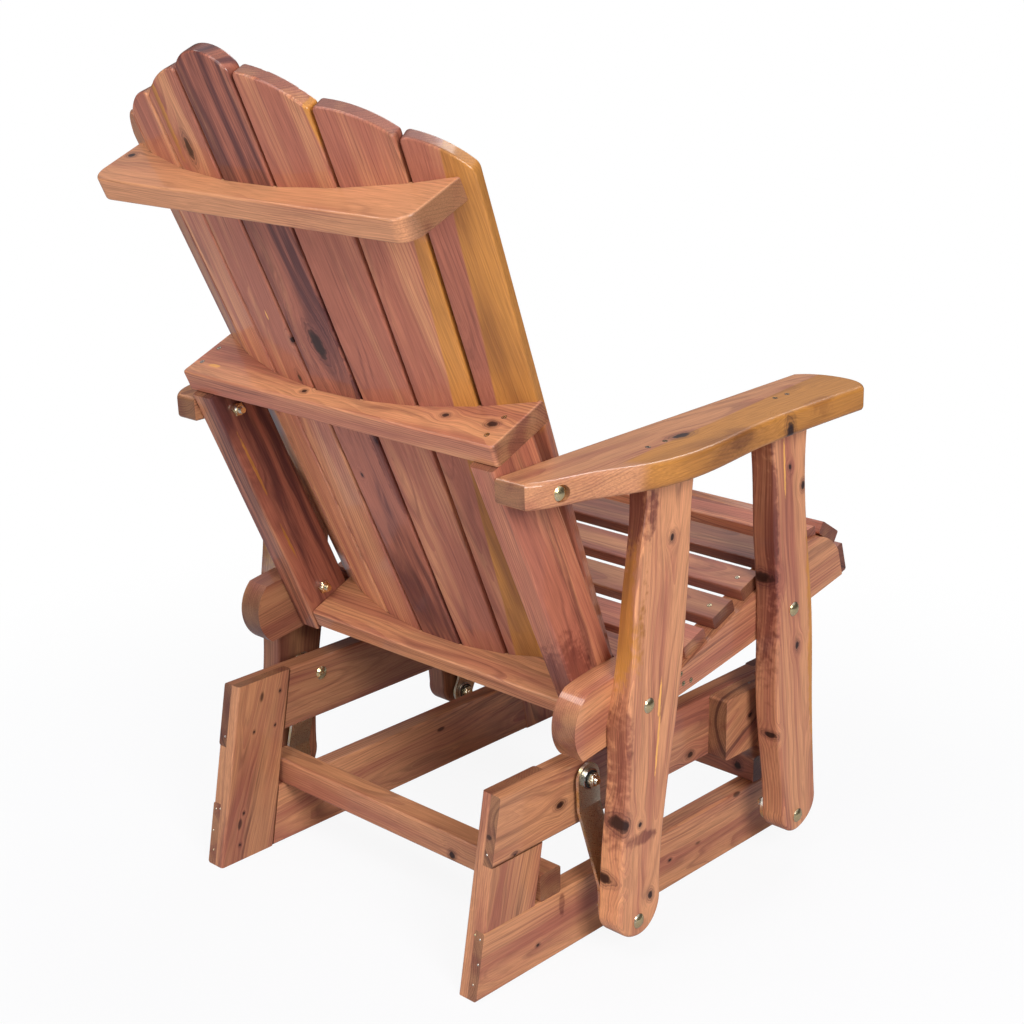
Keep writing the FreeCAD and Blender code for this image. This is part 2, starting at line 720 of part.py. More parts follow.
# Braces behind the slats: hollow front edge, with a shallow seat for each slat
def brace(half_x, centre_x, rear_n, low_t, thickness, corner_r):
    """Cross brace between two heights along the back, square to the back."""
    widest = math.radians(fan_step / 2)
    seat_r = fan_radius(low_t) * math.cos(widest) - brace_seat_depth
    centre_n = fan_face_n - fan_radius(low_t)
    left_x = centre_x + half_x
    right_x = centre_x - half_x
    left_n = centre_n + math.sqrt(seat_r ** 2 - (left_x - back_shift) ** 2)
    right_n = centre_n + math.sqrt(seat_r ** 2 - (right_x - back_shift) ** 2)
    bend_n = rear_n - corner_r
    lean_n = rear_n - corner_r * (1 - math.sqrt(0.5))
    inset = corner_r * (1 - math.sqrt(0.5))
    edges = [
        arc(flat(right_x, right_n), flat(back_shift, centre_n + seat_r), flat(left_x, left_n)),
        line(flat(left_x, left_n), flat(left_x, bend_n)),
        arc(flat(left_x, bend_n), flat(left_x - inset, lean_n), flat(left_x - corner_r, rear_n)),
        line(flat(left_x - corner_r, rear_n), flat(right_x + corner_r, rear_n)),
        arc(flat(right_x + corner_r, rear_n), flat(right_x + inset, lean_n), flat(right_x, bend_n)),
        line(flat(right_x, bend_n), flat(right_x, right_n))]
    face = Part.Face(Part.Wire(edges))
    if face.normalAt(0, 0).z < 0:
        face.reverse()
    board = face.extrude(V(0, 0, thickness))
    rims = []
    for edge in board.Edges:
        middle = (edge.FirstParameter + edge.LastParameter) / 2
        place = edge.CenterOfMass
        behind = place.y > max(left_n, right_n) + 5 and abs(place.x - centre_x) < half_x - 5
        if abs(edge.tangentAt(middle).z) < 0.5 and behind and place.y > 0:
            rims.append(edge)
    board = placed(board.makeFillet(brace_round, rims), back_point(0, 0, low_t), along_x, back_n)
    for blank in slat_blanks:
        board = board.cut(blank)
    return board


nodes["upper_brace"] = brace(
    upper_brace_half, 0, upper_brace_rear_n, upper_brace_t, brace_thickness, upper_brace_corner_r)
nodes["middle_brace"] = brace(
    middle_brace_half, back_shift, middle_brace_rear_n, middle_brace_t, brace_thickness, 2 * brace_round)
lower_brace = brace(
    upright_inner_x, 0, lower_brace_rear_n, lower_brace_t, lower_brace_thickness, 2 * brace_round)
relief_r = nut_flats / math.sqrt(3) + nut_room
relief_x = upright_inner_x - nut_height - 2 * bolt_tail - nut_room
nut_relief = mirrored(rod(relief_r, relief_x, upright_inner_x + 1, *rear_post_bolt_right))
nodes["lower_brace"] = lower_brace.cut(nut_relief)

# Bolts of the seat
lower_places = list(lower_pivots.values())
lower_nut_x = lower_bearing_x - bearing_width / 2 - side_play - nut_height
group("lower_pivot_bolts", [
    bolt(post_outer_x, lower_nut_x - bolt_tail, y, z) for y, z in lower_places])
group("lower_pivot_spacers", [
    ring(hole_r, spacer_r, post_inner_x - spacer_thickness, post_inner_x, y, z) for y, z in lower_places])
through_x = upright_inner_x - nut_height - 2 * bolt_tail
nodes["rear_post_bolts"] = Part.makeCompound([
    bolt(post_outer_x, through_x, *rear_post_bolt_left),
    mirrored(bolt(post_outer_x, through_x, *rear_post_bolt_right))])
group("front_post_bolts", [bolt(post_outer_x, rail_inner_x - nut_height - bolt_tail, *front_post_bolt)])
group("arm_bolts", [bolt(arm_head_x, through_x, *arm_bolt_place)])
like_nuts = [nut(lower_nut_x, y, z) for y, z in lower_places] + [
    nut(rail_inner_x - nut_height, *front_post_bolt),
    nut(upright_inner_x - nut_height, *arm_bolt_place)]
left_nuts = like_nuts + [nut(upright_inner_x - nut_height, *rear_post_bolt_left)]
right_nuts = like_nuts + [nut(upright_inner_x - nut_height, *rear_post_bolt_right)]
nodes["seat_nuts"] = Part.makeCompound(left_nuts + [mirrored(piece) for piece in right_nuts])

# The origin goes on the floor under the middle of the whole glider
whole = Part.makeCompound(list(nodes.values()))
box = whole.optimalBoundingBox(False, False)
centre_y = (box.YMin + box.YMax) / 2
print("centre_y", round(centre_y, 3), "box", box)
for name, shape in nodes.items():
    shape.translate(V(0, -centre_y, 0))
    shape.exportStep("parts/%s.step" % name)
for end in upper_pivots:
    for label, (y, z) in (("upper", upper_pivots[end]), ("lower", lower_pivots[end])):
        print(label, end, round(y - centre_y, 3), round(z, 3))
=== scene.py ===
import json
import math

import bmesh
import bpy
import numpy as np
from mathutils import Matrix, Vector
from mathutils.bvhtree import BVHTree

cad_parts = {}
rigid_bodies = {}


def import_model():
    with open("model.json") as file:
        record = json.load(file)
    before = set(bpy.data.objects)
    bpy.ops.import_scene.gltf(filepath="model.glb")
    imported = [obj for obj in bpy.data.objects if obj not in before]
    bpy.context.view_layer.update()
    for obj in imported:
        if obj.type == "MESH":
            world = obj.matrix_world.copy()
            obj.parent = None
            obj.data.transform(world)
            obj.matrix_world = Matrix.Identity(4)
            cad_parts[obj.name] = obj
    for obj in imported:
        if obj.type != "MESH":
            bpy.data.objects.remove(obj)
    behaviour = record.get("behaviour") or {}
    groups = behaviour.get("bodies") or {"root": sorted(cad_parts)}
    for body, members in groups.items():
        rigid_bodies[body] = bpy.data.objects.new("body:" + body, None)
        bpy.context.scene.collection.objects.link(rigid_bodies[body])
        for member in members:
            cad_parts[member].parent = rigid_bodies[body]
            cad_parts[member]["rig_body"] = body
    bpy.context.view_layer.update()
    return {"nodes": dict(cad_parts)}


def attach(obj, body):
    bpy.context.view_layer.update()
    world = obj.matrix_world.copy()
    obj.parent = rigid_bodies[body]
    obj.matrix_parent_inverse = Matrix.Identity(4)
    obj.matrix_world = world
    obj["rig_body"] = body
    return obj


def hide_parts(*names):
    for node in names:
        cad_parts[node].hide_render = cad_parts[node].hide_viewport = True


bl_info = {
    "name": "Adirondack Glider",
    "version": (1, 0, 0),
    "blender": (4, 5, 0),
    "location": "View3D > Sidebar > Glider",
    "description": "Red cedar glider chair, dressed on the packed frame",
    "category": "Object",
}

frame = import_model()
materials = {}
knot_names = ("knot_a", "knot_b", "knot_c", "knot_d", "knot_e", "knot_f")
patch_names = ("gold_a", "gold_b", "dusk_a", "dusk_b", "dusk_c", "pale_a", "pale_b")
smooth = {"interpolation_type": "SMOOTHSTEP"}
blend = {"out": 2, "data_type": "RGBA"}
merge_distance = 2e-5


def linear(text):
    """Linear colour from an sRGB hex value."""
    parts = [int(text[i:i + 2], 16) / 255 for i in (1, 3, 5)]
    return [part / 12.92 if part <= 0.04045 else ((part + 0.055) / 1.055) ** 2.4 for part in parts]


def node(tree, kind, sockets=None, out=0, **settings):
    """Add and set a shader node, fill its sockets with values or links, give an output, or all for None."""
    made = tree.nodes.new("ShaderNode" + kind)
    for key, value in settings.items():
        setattr(made, key, value)
    for key, value in (sockets or {}).items():
        if isinstance(value, bpy.types.NodeSocket):
            tree.links.new(value, made.inputs[key])
        else:
            made.inputs[key].default_value = value
    return made.outputs if out is None else made.outputs[out]


class GliderCedar(bpy.types.PropertyGroup):
    """Colours and sizes of the cedar."""

    heart_light: bpy.props.FloatVectorProperty(
        name="Light heartwood", description="Salmon tan earlywood of the heart", subtype="COLOR",
        default=linear("#CC8E64"))
    heart_red: bpy.props.FloatVectorProperty(
        name="Red heartwood", description="Red brown body of the heart", subtype="COLOR",
        default=linear("#A6634D"))
    heart_dark: bpy.props.FloatVectorProperty(
        name="Dark streaks", description="Purple brown streaks in the heart", subtype="COLOR",
        default=linear("#472226"))
    sapwood: bpy.props.FloatVectorProperty(
        name="Sapwood", description="Golden sapwood under varnish", subtype="COLOR",
        default=linear("#C4843E"))
    sapwood_deep: bpy.props.FloatVectorProperty(
        name="Deep sapwood", description="Browner lines of the sapwood", subtype="COLOR",
        default=linear("#8A552B"))
    resin: bpy.props.FloatVectorProperty(
        name="Resin streaks", description="Pale yellow streaks of resin", subtype="COLOR",
        default=linear("#E2A558"))
    # Dusky patches take this colour, partly purple grey patches in the wood and partly painted shade.
    stain_and_shade: bpy.props.FloatVectorProperty(
        name="Dusky stain", description="Tint of the dusky patches", subtype="COLOR",
        default=linear("#9A7A8A"))
    knot: bpy.props.FloatVectorProperty(
        name="Knots", description="Heart of a knot", subtype="COLOR", default=linear("#2E160F"))
    ring_spacing: bpy.props.FloatProperty(
        name="Ring spacing", description="Distance between growth rings", default=0.0034, unit="LENGTH")
    streak_width: bpy.props.FloatProperty(
        name="Streak width", description="Width of the dark streaks", default=0.012, unit="LENGTH")
    line_width: bpy.props.FloatProperty(
        name="Line width", description="Width of the thin dark lines", default=0.0015, unit="LENGTH")
    fibre_width: bpy.props.FloatProperty(
        name="Fibre width", description="Width of the fine fibre lines", default=0.0013, unit="LENGTH")
    pin_spacing: bpy.props.FloatProperty(
        name="Pin knot spacing", description="Distance between pin knots along a board",
        default=0.1, unit="LENGTH")


class GliderHardware(bpy.types.PropertyGroup):
    """Colours and sizes of the metal pieces."""

    zinc: bpy.props.FloatVectorProperty(
        name="Yellow zinc", description="Yellow passivated zinc", subtype="COLOR",
        default=linear("#EEDCA8"))
    zinc_tint: bpy.props.FloatVectorProperty(
        name="Zinc tint", description="Paler sheen of the passivation", subtype="COLOR",
        default=linear("#EFEBE0"))
    # Painted shade: the flat sides of the links take this colour instead of the plain zinc.
    zinc_flat_shade: bpy.props.FloatVectorProperty(
        name="Dull zinc", description="Duller flat faces of the links", subtype="COLOR",
        default=linear("#D2CBB4"))
    steel: bpy.props.FloatVectorProperty(
        name="Bearing steel", description="Ground steel of the bearing rings", subtype="COLOR",
        default=linear("#C9C9C6"))
    thread_pitch: bpy.props.FloatProperty(
        name="Thread pitch", description="Pitch of the bolts' thread", default=0.0015, unit="LENGTH")
    screw_head: bpy.props.FloatProperty(
        name="Screw head", description="Radius of a wood screw's sunk head", default=0.0036, unit="LENGTH")
    nail_head: bpy.props.FloatProperty(
        name="Nail head", description="Radius of a finishing nail's head", default=0.0015, unit="LENGTH")


class GliderStudio(bpy.types.PropertyGroup):
    """Camera and light."""

    lens: bpy.props.FloatProperty(
        name="Lens", description="Focal length on a 36 mm sensor", default=63.76, subtype="DISTANCE_CAMERA")
    camera_place: bpy.props.FloatVectorProperty(
        name="Camera place", description="Where the camera stands", subtype="TRANSLATION",
        default=(-1.6312, 1.6626, 1.2552))
    sight: bpy.props.FloatVectorProperty(
        name="Line of sight", description="Direction of view", subtype="XYZ",
        default=(0.6545, -0.6910, -0.3067))
    level: bpy.props.FloatVectorProperty(
        name="Picture level", description="Direction of the picture's right side", subtype="XYZ",
        default=(-0.7284, -0.6850, -0.0120))
    ambient: bpy.props.FloatProperty(
        name="Room light", description="Even light from all around", default=0.15)
    mirrored: bpy.props.FloatProperty(
        name="Mirrored room", description="Brightness of the room overhead in glossy faces", default=1.0)
    ambient_colour: bpy.props.FloatVectorProperty(
        name="Room colour", description="Cool tint of the light from all around", subtype="COLOR",
        default=linear("#F6F2FC"))


def empty_material(name):
    """A new material with no nodes, and its tree."""
    material = bpy.data.materials.new(name)
    material.use_nodes = True
    material.node_tree.nodes.clear()
    return material, material.node_tree


def cedar_material():
    """Sawn and sanded red cedar under brushed satin varnish.

    To the eye that is salmon to red brown heart in long soft bands with purple streaks, faint ring
    lines, golden sapwood where a board reaches the outside of the log, dark knots that the lines
    flow around, and a clear gloss on top.
    """
    look = bpy.context.scene.glider_cedar
    material, tree = empty_material("red_cedar_satin_varnish")
    heart_dark = (*look.heart_dark, 1)

    fields = {name: node(tree, "Attribute", out="Vector", attribute_name=name) for name in (
        "grain", "tone_and_shade", "figure", "knot_size", *knot_names, *patch_names)}
    grain = fields["grain"]
    tone_and_shade = node(tree, "SeparateXYZ", {0: fields["tone_and_shade"]}, out=None)
    figure = node(tree, "SeparateXYZ", {0: fields["figure"]}, out=None)
    end_grain = node(tree, "Attribute", out="Fac", attribute_name="end_grain")

    # The lines wander by some millimetres over long stretches.
    wander_length, wander_width, wander_reach = 0.25, 0.05, 0.013
    stretch = node(tree, "VectorMath", {
        0: grain, 1: (1 / wander_length, 1 / wander_width, 1 / wander_width)}, operation="MULTIPLY")
    wander = node(tree, "TexNoise", {"Vector": stretch, "Scale": 1.0, "Detail": 2.0}, out=None)
    centred = node(tree, "VectorMath", {0: wander["Color"], 1: (0.5, 0.5, 0.5)}, operation="SUBTRACT")
    bent = node(tree, "VectorMath", {
        0: centred, 1: (0, wander_reach, wander_reach), 2: grain}, operation="MULTIPLY_ADD")

    # Around each knot the lines are pushed aside over about three times its radius.
    ragged_size, waver, knot_rings = 0.009, (0.5, 0.5, 0.5), 3.6
    ragged = node(tree, "VectorMath", {0: grain, "Scale": 1 / ragged_size}, operation="SCALE")
    ragged = node(tree, "TexNoise", {"Vector": ragged, "Scale": 1.0, "Detail": 2.0}, out="Color")
    ragged = node(tree, "VectorMath", {0: ragged, 1: wander["Color"]}, operation="ADD")
    rough_edge = node(tree, "VectorMath", {0: ragged, 1: (1, 1, 1)}, operation="SUBTRACT")
    core = rim = None
    for name in knot_names:
        away = fields[name]
        uneven = node(tree, "VectorMath", {0: rough_edge, 1: waver, 2: away}, operation="MULTIPLY_ADD")
        reach = node(tree, "VectorMath", {0: uneven}, out="Value", operation="LENGTH")
        push = node(tree, "MapRange", {0: reach, 1: 0.4, 2: 3.2, 3: -0.85, 4: 0.0}, **smooth)
        sideways = node(tree, "VectorMath", {0: away, 1: fields["knot_size"]}, operation="MULTIPLY")
        pushed = node(tree, "VectorMath", {0: sideways, "Scale": push}, operation="SCALE")
        bent = node(tree, "VectorMath", {0: bent, 1: pushed}, operation="ADD")
        spot = node(tree, "MapRange", {0: reach, 1: 0.72, 2: 0.34}, **smooth)
        halo = node(tree, "MapRange", {0: reach, 1: 1.35, 2: 0.75}, **smooth)
        circle = node(tree, "Math", {0: reach, 1: knot_rings}, operation="MULTIPLY")
        circle = node(tree, "Math", {0: circle}, operation="FRACT")
        lines = node(tree, "MapRange", {0: circle, 1: 0.3, 2: 1.0, 3: 0.35, 4: 1.0})
        halo = node(tree, "Math", {0: halo, 1: lines}, operation="MULTIPLY")
        core = spot if core is None else node(tree, "Math", {0: core, 1: spot}, operation="MAXIMUM")
        rim = halo if rim is None else node(tree, "Math", {0: rim, 1: halo}, operation="MAXIMUM")

    # Growth rings about the heart of the tree, seen as lines on the faces and as arcs on the ends.
    radial = node(tree, "VectorMath", {0: bent, 1: (0, 1, 1)}, operation="MULTIPLY")
    radius = node(tree, "VectorMath", {0: radial}, out="Value", operation="LENGTH")
    ring = node(tree, "Math", {0: radius, 1: look.ring_spacing}, operation="DIVIDE")
    ring = node(tree, "Math", {0: ring}, operation="FRACT")
    late = node(tree, "MapRange", {0: ring, 1: 0.35, 2: 0.98}, **smooth)

    # Purple streaks keep to the rings, broad zones of lighter and redder heart cross them.
    streak_length, zone_length, zone_width, zone_lines = 0.5, 0.4, 0.032, 0.09
    along = node(tree, "SeparateXYZ", {0: bent})
    streak_along = node(tree, "Math", {0: along, 1: streak_length}, operation="DIVIDE")
    streak_across = node(tree, "Math", {0: radius, 1: look.streak_width}, operation="DIVIDE")
    streak_place = node(tree, "CombineXYZ", {0: streak_along, 1: streak_across})
    streak_noise = node(tree, "TexNoise", {
        "Vector": streak_place, "Scale": 1.0, "Detail": 5.0, "Roughness": 0.68})
    streak_level = node(tree, "Math", {0: streak_noise, 1: tone_and_shade[0]}, operation="ADD")
    streak = node(tree, "MapRange", {0: streak_level, 1: 0.53, 2: 0.76, 3: 0.0, 4: 0.85}, **smooth)
    zone_place = node(tree, "VectorMath", {
        0: bent, 1: (1 / zone_length, 1 / zone_width, 1 / zone_width)}, operation="MULTIPLY")
    zone_noise = node(tree, "TexNoise", {"Vector": zone_place, "Scale": 1.0, "Detail": 1.5})
    zone_level = node(tree, "Math", {0: zone_noise, 1: tone_and_shade[1]}, operation="ADD")
    zone_level = node(tree, "Math", {0: late, 1: zone_lines, 2: zone_level}, operation="MULTIPLY_ADD")
    zone = node(tree, "MapRange", {0: zone_level, 1: 0.34, 2: 0.72}, **smooth)

    # Fine fibres, drawn wider than real ones so that they show.
    fibre_length = 0.07
    fibre_place = node(tree, "VectorMath", {
        0: bent, 1: (1 / fibre_length, 1 / look.fibre_width, 1 / look.fibre_width)}, operation="MULTIPLY")
    fibre = node(tree, "TexNoise", {"Vector": fibre_place, "Scale": 1.0, "Detail": 2.0, "Roughness": 0.6})

    # Thin dark lines keep to the rings too, some hand lengths long.
    line_length, ring_strength = 0.22, 0.07
    line_along = node(tree, "Math", {0: along, 1: line_length}, operation="DIVIDE")
    line_across = node(tree, "Math", {0: radius, 1: look.line_width}, operation="DIVIDE")
    line_place = node(tree, "CombineXYZ", {0: line_along, 1: line_across})
    line_noise = node(tree, "TexNoise", {"Vector": line_place, "Scale": 1.0, "Detail": 2.0})
    thin = node(tree, "MapRange", {0: line_noise, 1: 0.48, 2: 0.74, 4: 0.34}, **smooth)

    heart = node(tree, "Mix", {0: zone, 6: (*look.heart_light, 1), 7: (*look.heart_red, 1)}, **blend)
    heart = node(tree, "Mix", {0: thin, 6: heart, 7: heart_dark}, **blend)
    ring_share = node(tree, "Math", {0: late, 1: ring_strength}, operation="MULTIPLY")
    heart = node(tree, "Mix", {0: ring_share, 6: heart, 7: heart_dark}, **blend)
    heart = node(tree, "Mix", {0: streak, 6: heart, 7: heart_dark}, **blend)

    # Sapwood lies beyond a line on the board, and in patches; dusky patches darken the heart, partly as
    # purple grey patches in the wood and partly as painted shade.
    sap_lines, sap_waver = 0.16, 0.008
    sap_cloud = node(tree, "MapRange", {0: wander["Fac"], 1: 0.42, 2: 0.7, 4: 0.75}, **smooth)
    sap_share = node(tree, "Math", {0: late, 1: sap_lines, 2: sap_cloud}, operation="MULTIPLY_ADD")
    sap_colour = node(tree, "Mix", {
        0: sap_share, 6: (*look.sapwood, 1), 7: (*look.sapwood_deep, 1)}, **blend)
    sap_level = node(tree, "Math", {0: figure[0], 1: figure[1]}, operation="MINIMUM")
    sap_wave = node(tree, "Math", {0: zone_noise, 1: sap_waver, 2: sap_level}, operation="MULTIPLY_ADD")
    sap = node(tree, "MapRange", {0: sap_wave, 1: 0.0025, 2: 0.0055}, **smooth)
    masks = {}
    for name in patch_names:
        uneven = node(tree, "VectorMath", {0: fields[name], 1: rough_edge}, operation="ADD")
        reach = node(tree, "VectorMath", {0: uneven}, out="Value", operation="LENGTH")
        mask = node(tree, "MapRange", {0: reach, 1: 1.2, 2: 0.7}, **smooth)
        kind = name.split("_")[0]
        if kind in masks:
            mask = node(tree, "Math", {0: masks[kind], 1: mask}, operation="MAXIMUM")
        masks[kind] = mask
    gold = node(tree, "Math", {0: masks["gold"], 1: sap}, operation="MAXIMUM")
    dusk_lines = node(tree, "MapRange", {0: streak_noise, 1: 0.3, 2: 0.65, 3: 0.45, 4: 1.0})
    dusk = node(tree, "Math", {0: masks["dusk"], 1: dusk_lines}, operation="MULTIPLY")
    bare = node(tree, "MapRange", {0: gold, 3: 1.0, 4: 0.5})
    dusk = node(tree, "Math", {0: dusk, 1: bare}, operation="MULTIPLY")
    wood = node(tree, "Mix", {0: gold, 6: heart, 7: sap_colour}, **blend)
    wood = node(tree, "Mix", {0: dusk, 6: wood, 7: (*look.stain_and_shade, 1)}, blend_type="MULTIPLY", **blend)
    wood = node(tree, "Mix", {0: masks["pale"], 6: wood, 7: (*look.resin, 1)}, **blend)

    # Pin knots, a few millimetres long, on the boards that have them.
    pin_rate, halo_strength = 1 / look.pin_spacing, 0.7
    pin_place = node(tree, "VectorMath", {
        0: bent, 1: (pin_rate, 2.4 * pin_rate, 2.4 * pin_rate)}, operation="MULTIPLY")
    pins = node(tree, "TexVoronoi", {"Vector": pin_place, "Scale": 1.0}, out=None)
    chance = node(tree, "SeparateColor", {0: pins["Color"]})
    chosen = node(tree, "Math", {0: chance, 1: figure[2]}, operation="LESS_THAN")
    dot = node(tree, "MapRange", {0: pins["Distance"], 1: 0.11, 2: 0.05, 4: 0.8}, **smooth)
    dot = node(tree, "Math", {0: dot, 1: chosen}, operation="MULTIPLY")
    core = node(tree, "Math", {0: core, 1: dot}, operation="MAXIMUM")
    rim = node(tree, "Math", {0: rim, 1: halo_strength}, operation="MULTIPLY")
    wood = node(tree, "Mix", {0: rim, 6: wood, 7: heart_dark}, **blend)
    wood = node(tree, "Mix", {0: core, 6: wood, 7: (*look.knot, 1)}, **blend)

    # Fibres and end grain set the brightness, and each board has its own on top, partly how light its wood
    # is and partly painted shade where it is darkened and painted light where it is brightened.
    fibre_light = node(tree, "MapRange", {0: fibre, 1: 0.25, 2: 0.75, 3: 0.78, 4: 1.22})
    end_dark = node(tree, "MapRange", {0: end_grain, 3: 1.0, 4: 0.52})
    light = node(tree, "Math", {0: fibre_light, 1: end_dark}, operation="MULTIPLY")
    lifted = node(tree, "Math", {0: light, 1: tone_and_shade[2], 2: light}, operation="MULTIPLY_ADD")
    colour = node(tree, "VectorMath", {0: wood, "Scale": lifted}, operation="SCALE")

    relief = node(tree, "Math", {0: fibre, 1: late}, operation="SUBTRACT")
    bump = node(tree, "Bump", {"Height": relief, "Strength": 0.1, "Distance": 0.0004})
    rough = node(tree, "MapRange", {0: fibre, 1: 0.2, 2: 0.8, 3: 0.55, 4: 0.42})
    shader = node(tree, "BsdfPrincipled", {
        "Base Color": colour, "Roughness": rough, "Normal": bump, "IOR": 1.45, "Specular IOR Level": 0.25,
        "Coat Weight": 0.6, "Coat Roughness": 0.1, "Coat IOR": 1.5})
    node(tree, "OutputMaterial", {"Surface": shader}, out=None)
    return material


def metal_material(name, base, tint, flat_shade, rough_low, rough_high):
    """Plated or ground metal: clouds of two tints, flat sides in a painted shade of their own, fine
    scratches.
    """
    material, tree = empty_material(name)
    cloud_size, scratch_size = 0.012, 0.0012
    place = node(tree, "TexCoord", out=None)
    cloud = node(tree, "TexNoise", {"Vector": place["Object"], "Scale": 1 / cloud_size, "Detail": 3.0})
    scratch = node(tree, "TexNoise", {"Vector": place["Object"], "Scale": 1 / scratch_size, "Detail": 2.0})
    share = node(tree, "MapRange", {0: cloud, 1: 0.35, 2: 0.65}, **smooth)
    colour = node(tree, "Mix", {0: share, 6: (*base, 1), 7: (*tint, 1)}, **blend)
    # Faces square to the object's X axis take the flat colour: painted shade on the flat sides of a plate.
    side = node(tree, "SeparateXYZ", {0: place["Normal"]})
    side = node(tree, "Math", {0: side}, operation="ABSOLUTE")
    flat = node(tree, "MapRange", {0: side, 1: 0.6, 2: 0.9}, **smooth)
    colour = node(tree, "Mix", {0: flat, 6: colour, 7: (*flat_shade, 1)}, **blend)
    rough = node(tree, "MapRange", {0: scratch, 1: 0.3, 2: 0.7, 3: rough_low, 4: rough_high})
    bump = node(tree, "Bump", {"Height": scratch, "Strength": 0.06, "Distance": 0.0002})
    shader = node(tree, "BsdfPrincipled", {
        "Base Color": colour, "Metallic": 1.0, "Roughness": rough, "Normal": bump})
    node(tree, "OutputMaterial", {"Surface": shader}, out=None)
    return material


def dark_material(name, shade, rough):
    """Dull dark stuff with a faint mottle: rubber seals, and the painted shade of sunk screws."""
    material, tree = empty_material(name)
    mottle_size = 0.003
    place = node(tree, "TexCoord", out="Object")
    mottle = node(tree, "TexNoise", {"Vector": place, "Scale": 1 / mottle_size, "Detail": 2.0})
    level = node(tree, "MapRange", {0: mottle, 3: 0.7, 4: 1.3})
    colour = node(tree, "VectorMath", {0: linear(shade), "Scale": level}, operation="SCALE")
    shader = node(tree, "BsdfPrincipled", {"Base Color": colour, "Roughness": rough})
    node(tree, "OutputMaterial", {"Surface": shader}, out=None)
    return material


def grain_axes(mesh):
    """Middle of a board and its directions along, across and through, from the spread of its faces."""
    count = len(mesh.polygons)
    middles = np.zeros(count * 3)
    areas = np.zeros(count)
    mesh.polygons.foreach_get("center", middles)
    mesh.polygons.foreach_get("area", areas)
    middles = middles.reshape(-1, 3)
    centre = np.average(middles, axis=0, weights=areas)
    spread = np.cov((middles - centre).T, aweights=areas)
    values, directions = np.linalg.eigh(spread)
    axes = []
    for i in (2, 1):
        axis = Vector(directions[:, i])
        axes.append(-axis if max(axis, key=abs) < 0 else axis)
    along, across = axes
    return Vector(centre), along, across, along.cross(across)


def finish_piece(bm, name, body, finishes, sharp=32):
    """Turn a mesh that is done into a piece that rides on a body."""
    for face in bm.faces:
        face.smooth = True
    for edge in bm.edges:
        edge.smooth = edge.calc_face_angle(0.0) < math.radians(sharp)
    mesh = bpy.data.meshes.new(name)
    bm.to_mesh(mesh)
    bm.free()
    for finish in finishes:
        mesh.materials.append(materials[finish])
    piece = bpy.data.objects.new(name, mesh)
    bpy.context.scene.collection.objects.link(piece)
    piece.modifiers.new("even_faces", "WEIGHTED_NORMAL").keep_sharp = True
    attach(piece, body)
    return piece


def board(name, start, depth=0.0, red=0.0, light=0.0, pins=0.0, sap=None, stop=None, knots=(), gold=(),
          dusk=(), pale=(), pith=(0.03, -0.05)):
    """Copy a cedar board from the frame and keep the run of its grain in its points.

    start sets it apart from the other boards along the grain. depth, red and light give the dark
    streaks, the red zones and the brightness, pins the share of pin knots. The brightness is partly how
    light the board's wood is and partly painted shade where light is below nought and painted light
    where it is above. sap is two places on the edge of the sapwood and the side it lies on, stop a place
    where it ends along the board and the side that keeps it. knots are places with a radius and a length,
    gold, dusk and pale are patches with their half sizes along, across and through; the dusk patches are
    partly painted shade. pith is the heart of the tree, which leans a little off the board.
    """
    lean_across, lean_through = 0.01, 0.02
    sap_fade = 0.12
    same_face, end_from, end_range = 0.85, 0.6, 0.35
    nowhere = ((9.0, 9.0, 9.0), (0.01, 0.01, 0.01))
    source = frame["nodes"][name]
    centre, along, across, through = grain_axes(source.data)
    turn = Matrix((along, across, through))

    def local(place):
        return turn @ (Vector(place) - centre)

    spots = [(place, (radius * length, radius, 3 * radius)) for place, radius, length in knots]
    marks = dict.fromkeys(knot_names + patch_names, nowhere)
    for kind, given in (("knot_", spots), ("gold_", gold), ("dusk_", dusk), ("pale_", pale)):
        marks.update(zip([key for key in marks if key.startswith(kind)], given))
    bm = bmesh.new()
    bm.from_mesh(source.data)
    bmesh.ops.remove_doubles(bm, verts=bm.verts, dist=merge_distance)
    layers = {key: bm.verts.layers.float_vector.new(key) for key in (
        "grain", "tone_and_shade", "figure", "knot_size", *marks)}
    end_grain = bm.loops.layers.float.new("end_grain")
    size = max([radius for place, radius, length in knots], default=0.0)
    if sap:
        first, second = local(sap[0]), local(sap[1])
        slope = (second.y - first.y) / (second.x - first.x)
    for vert in bm.verts:
        u, v, w = local(vert.co)
        vert[layers["grain"]] = (u + start, v - pith[0] - lean_across * u, w - pith[1] - lean_through * u)
        vert[layers["tone_and_shade"]] = (depth, red, light)
        side = sap[2] * (v - first.y - slope * (u - first.x)) if sap else -1.0
        end = sap_fade * stop[1] * (u - local(stop[0]).x) if stop else 1.0
        vert[layers["figure"]] = (side, end, pins)
        vert[layers["knot_size"]] = (0.0, size, size)
        for key, (place, sizes) in marks.items():
            offset = Vector((u, v, w)) - local(place)
            vert[layers[key]] = [offset[i] / sizes[i] for i in range(3)]
    for face in bm.faces:
        for loop in face.loops:
            normal = Vector()
            for other in loop.vert.link_faces:
                if other.normal.dot(face.normal) > same_face:
                    normal += other.normal
            endwise = abs(normal.normalized().dot(along))
            loop[end_grain] = min(max(endwise - end_from, 0.0) / end_range, 1.0)
    piece = finish_piece(bm, name + "_cedar", source["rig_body"], ["cedar"])
    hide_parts(name)


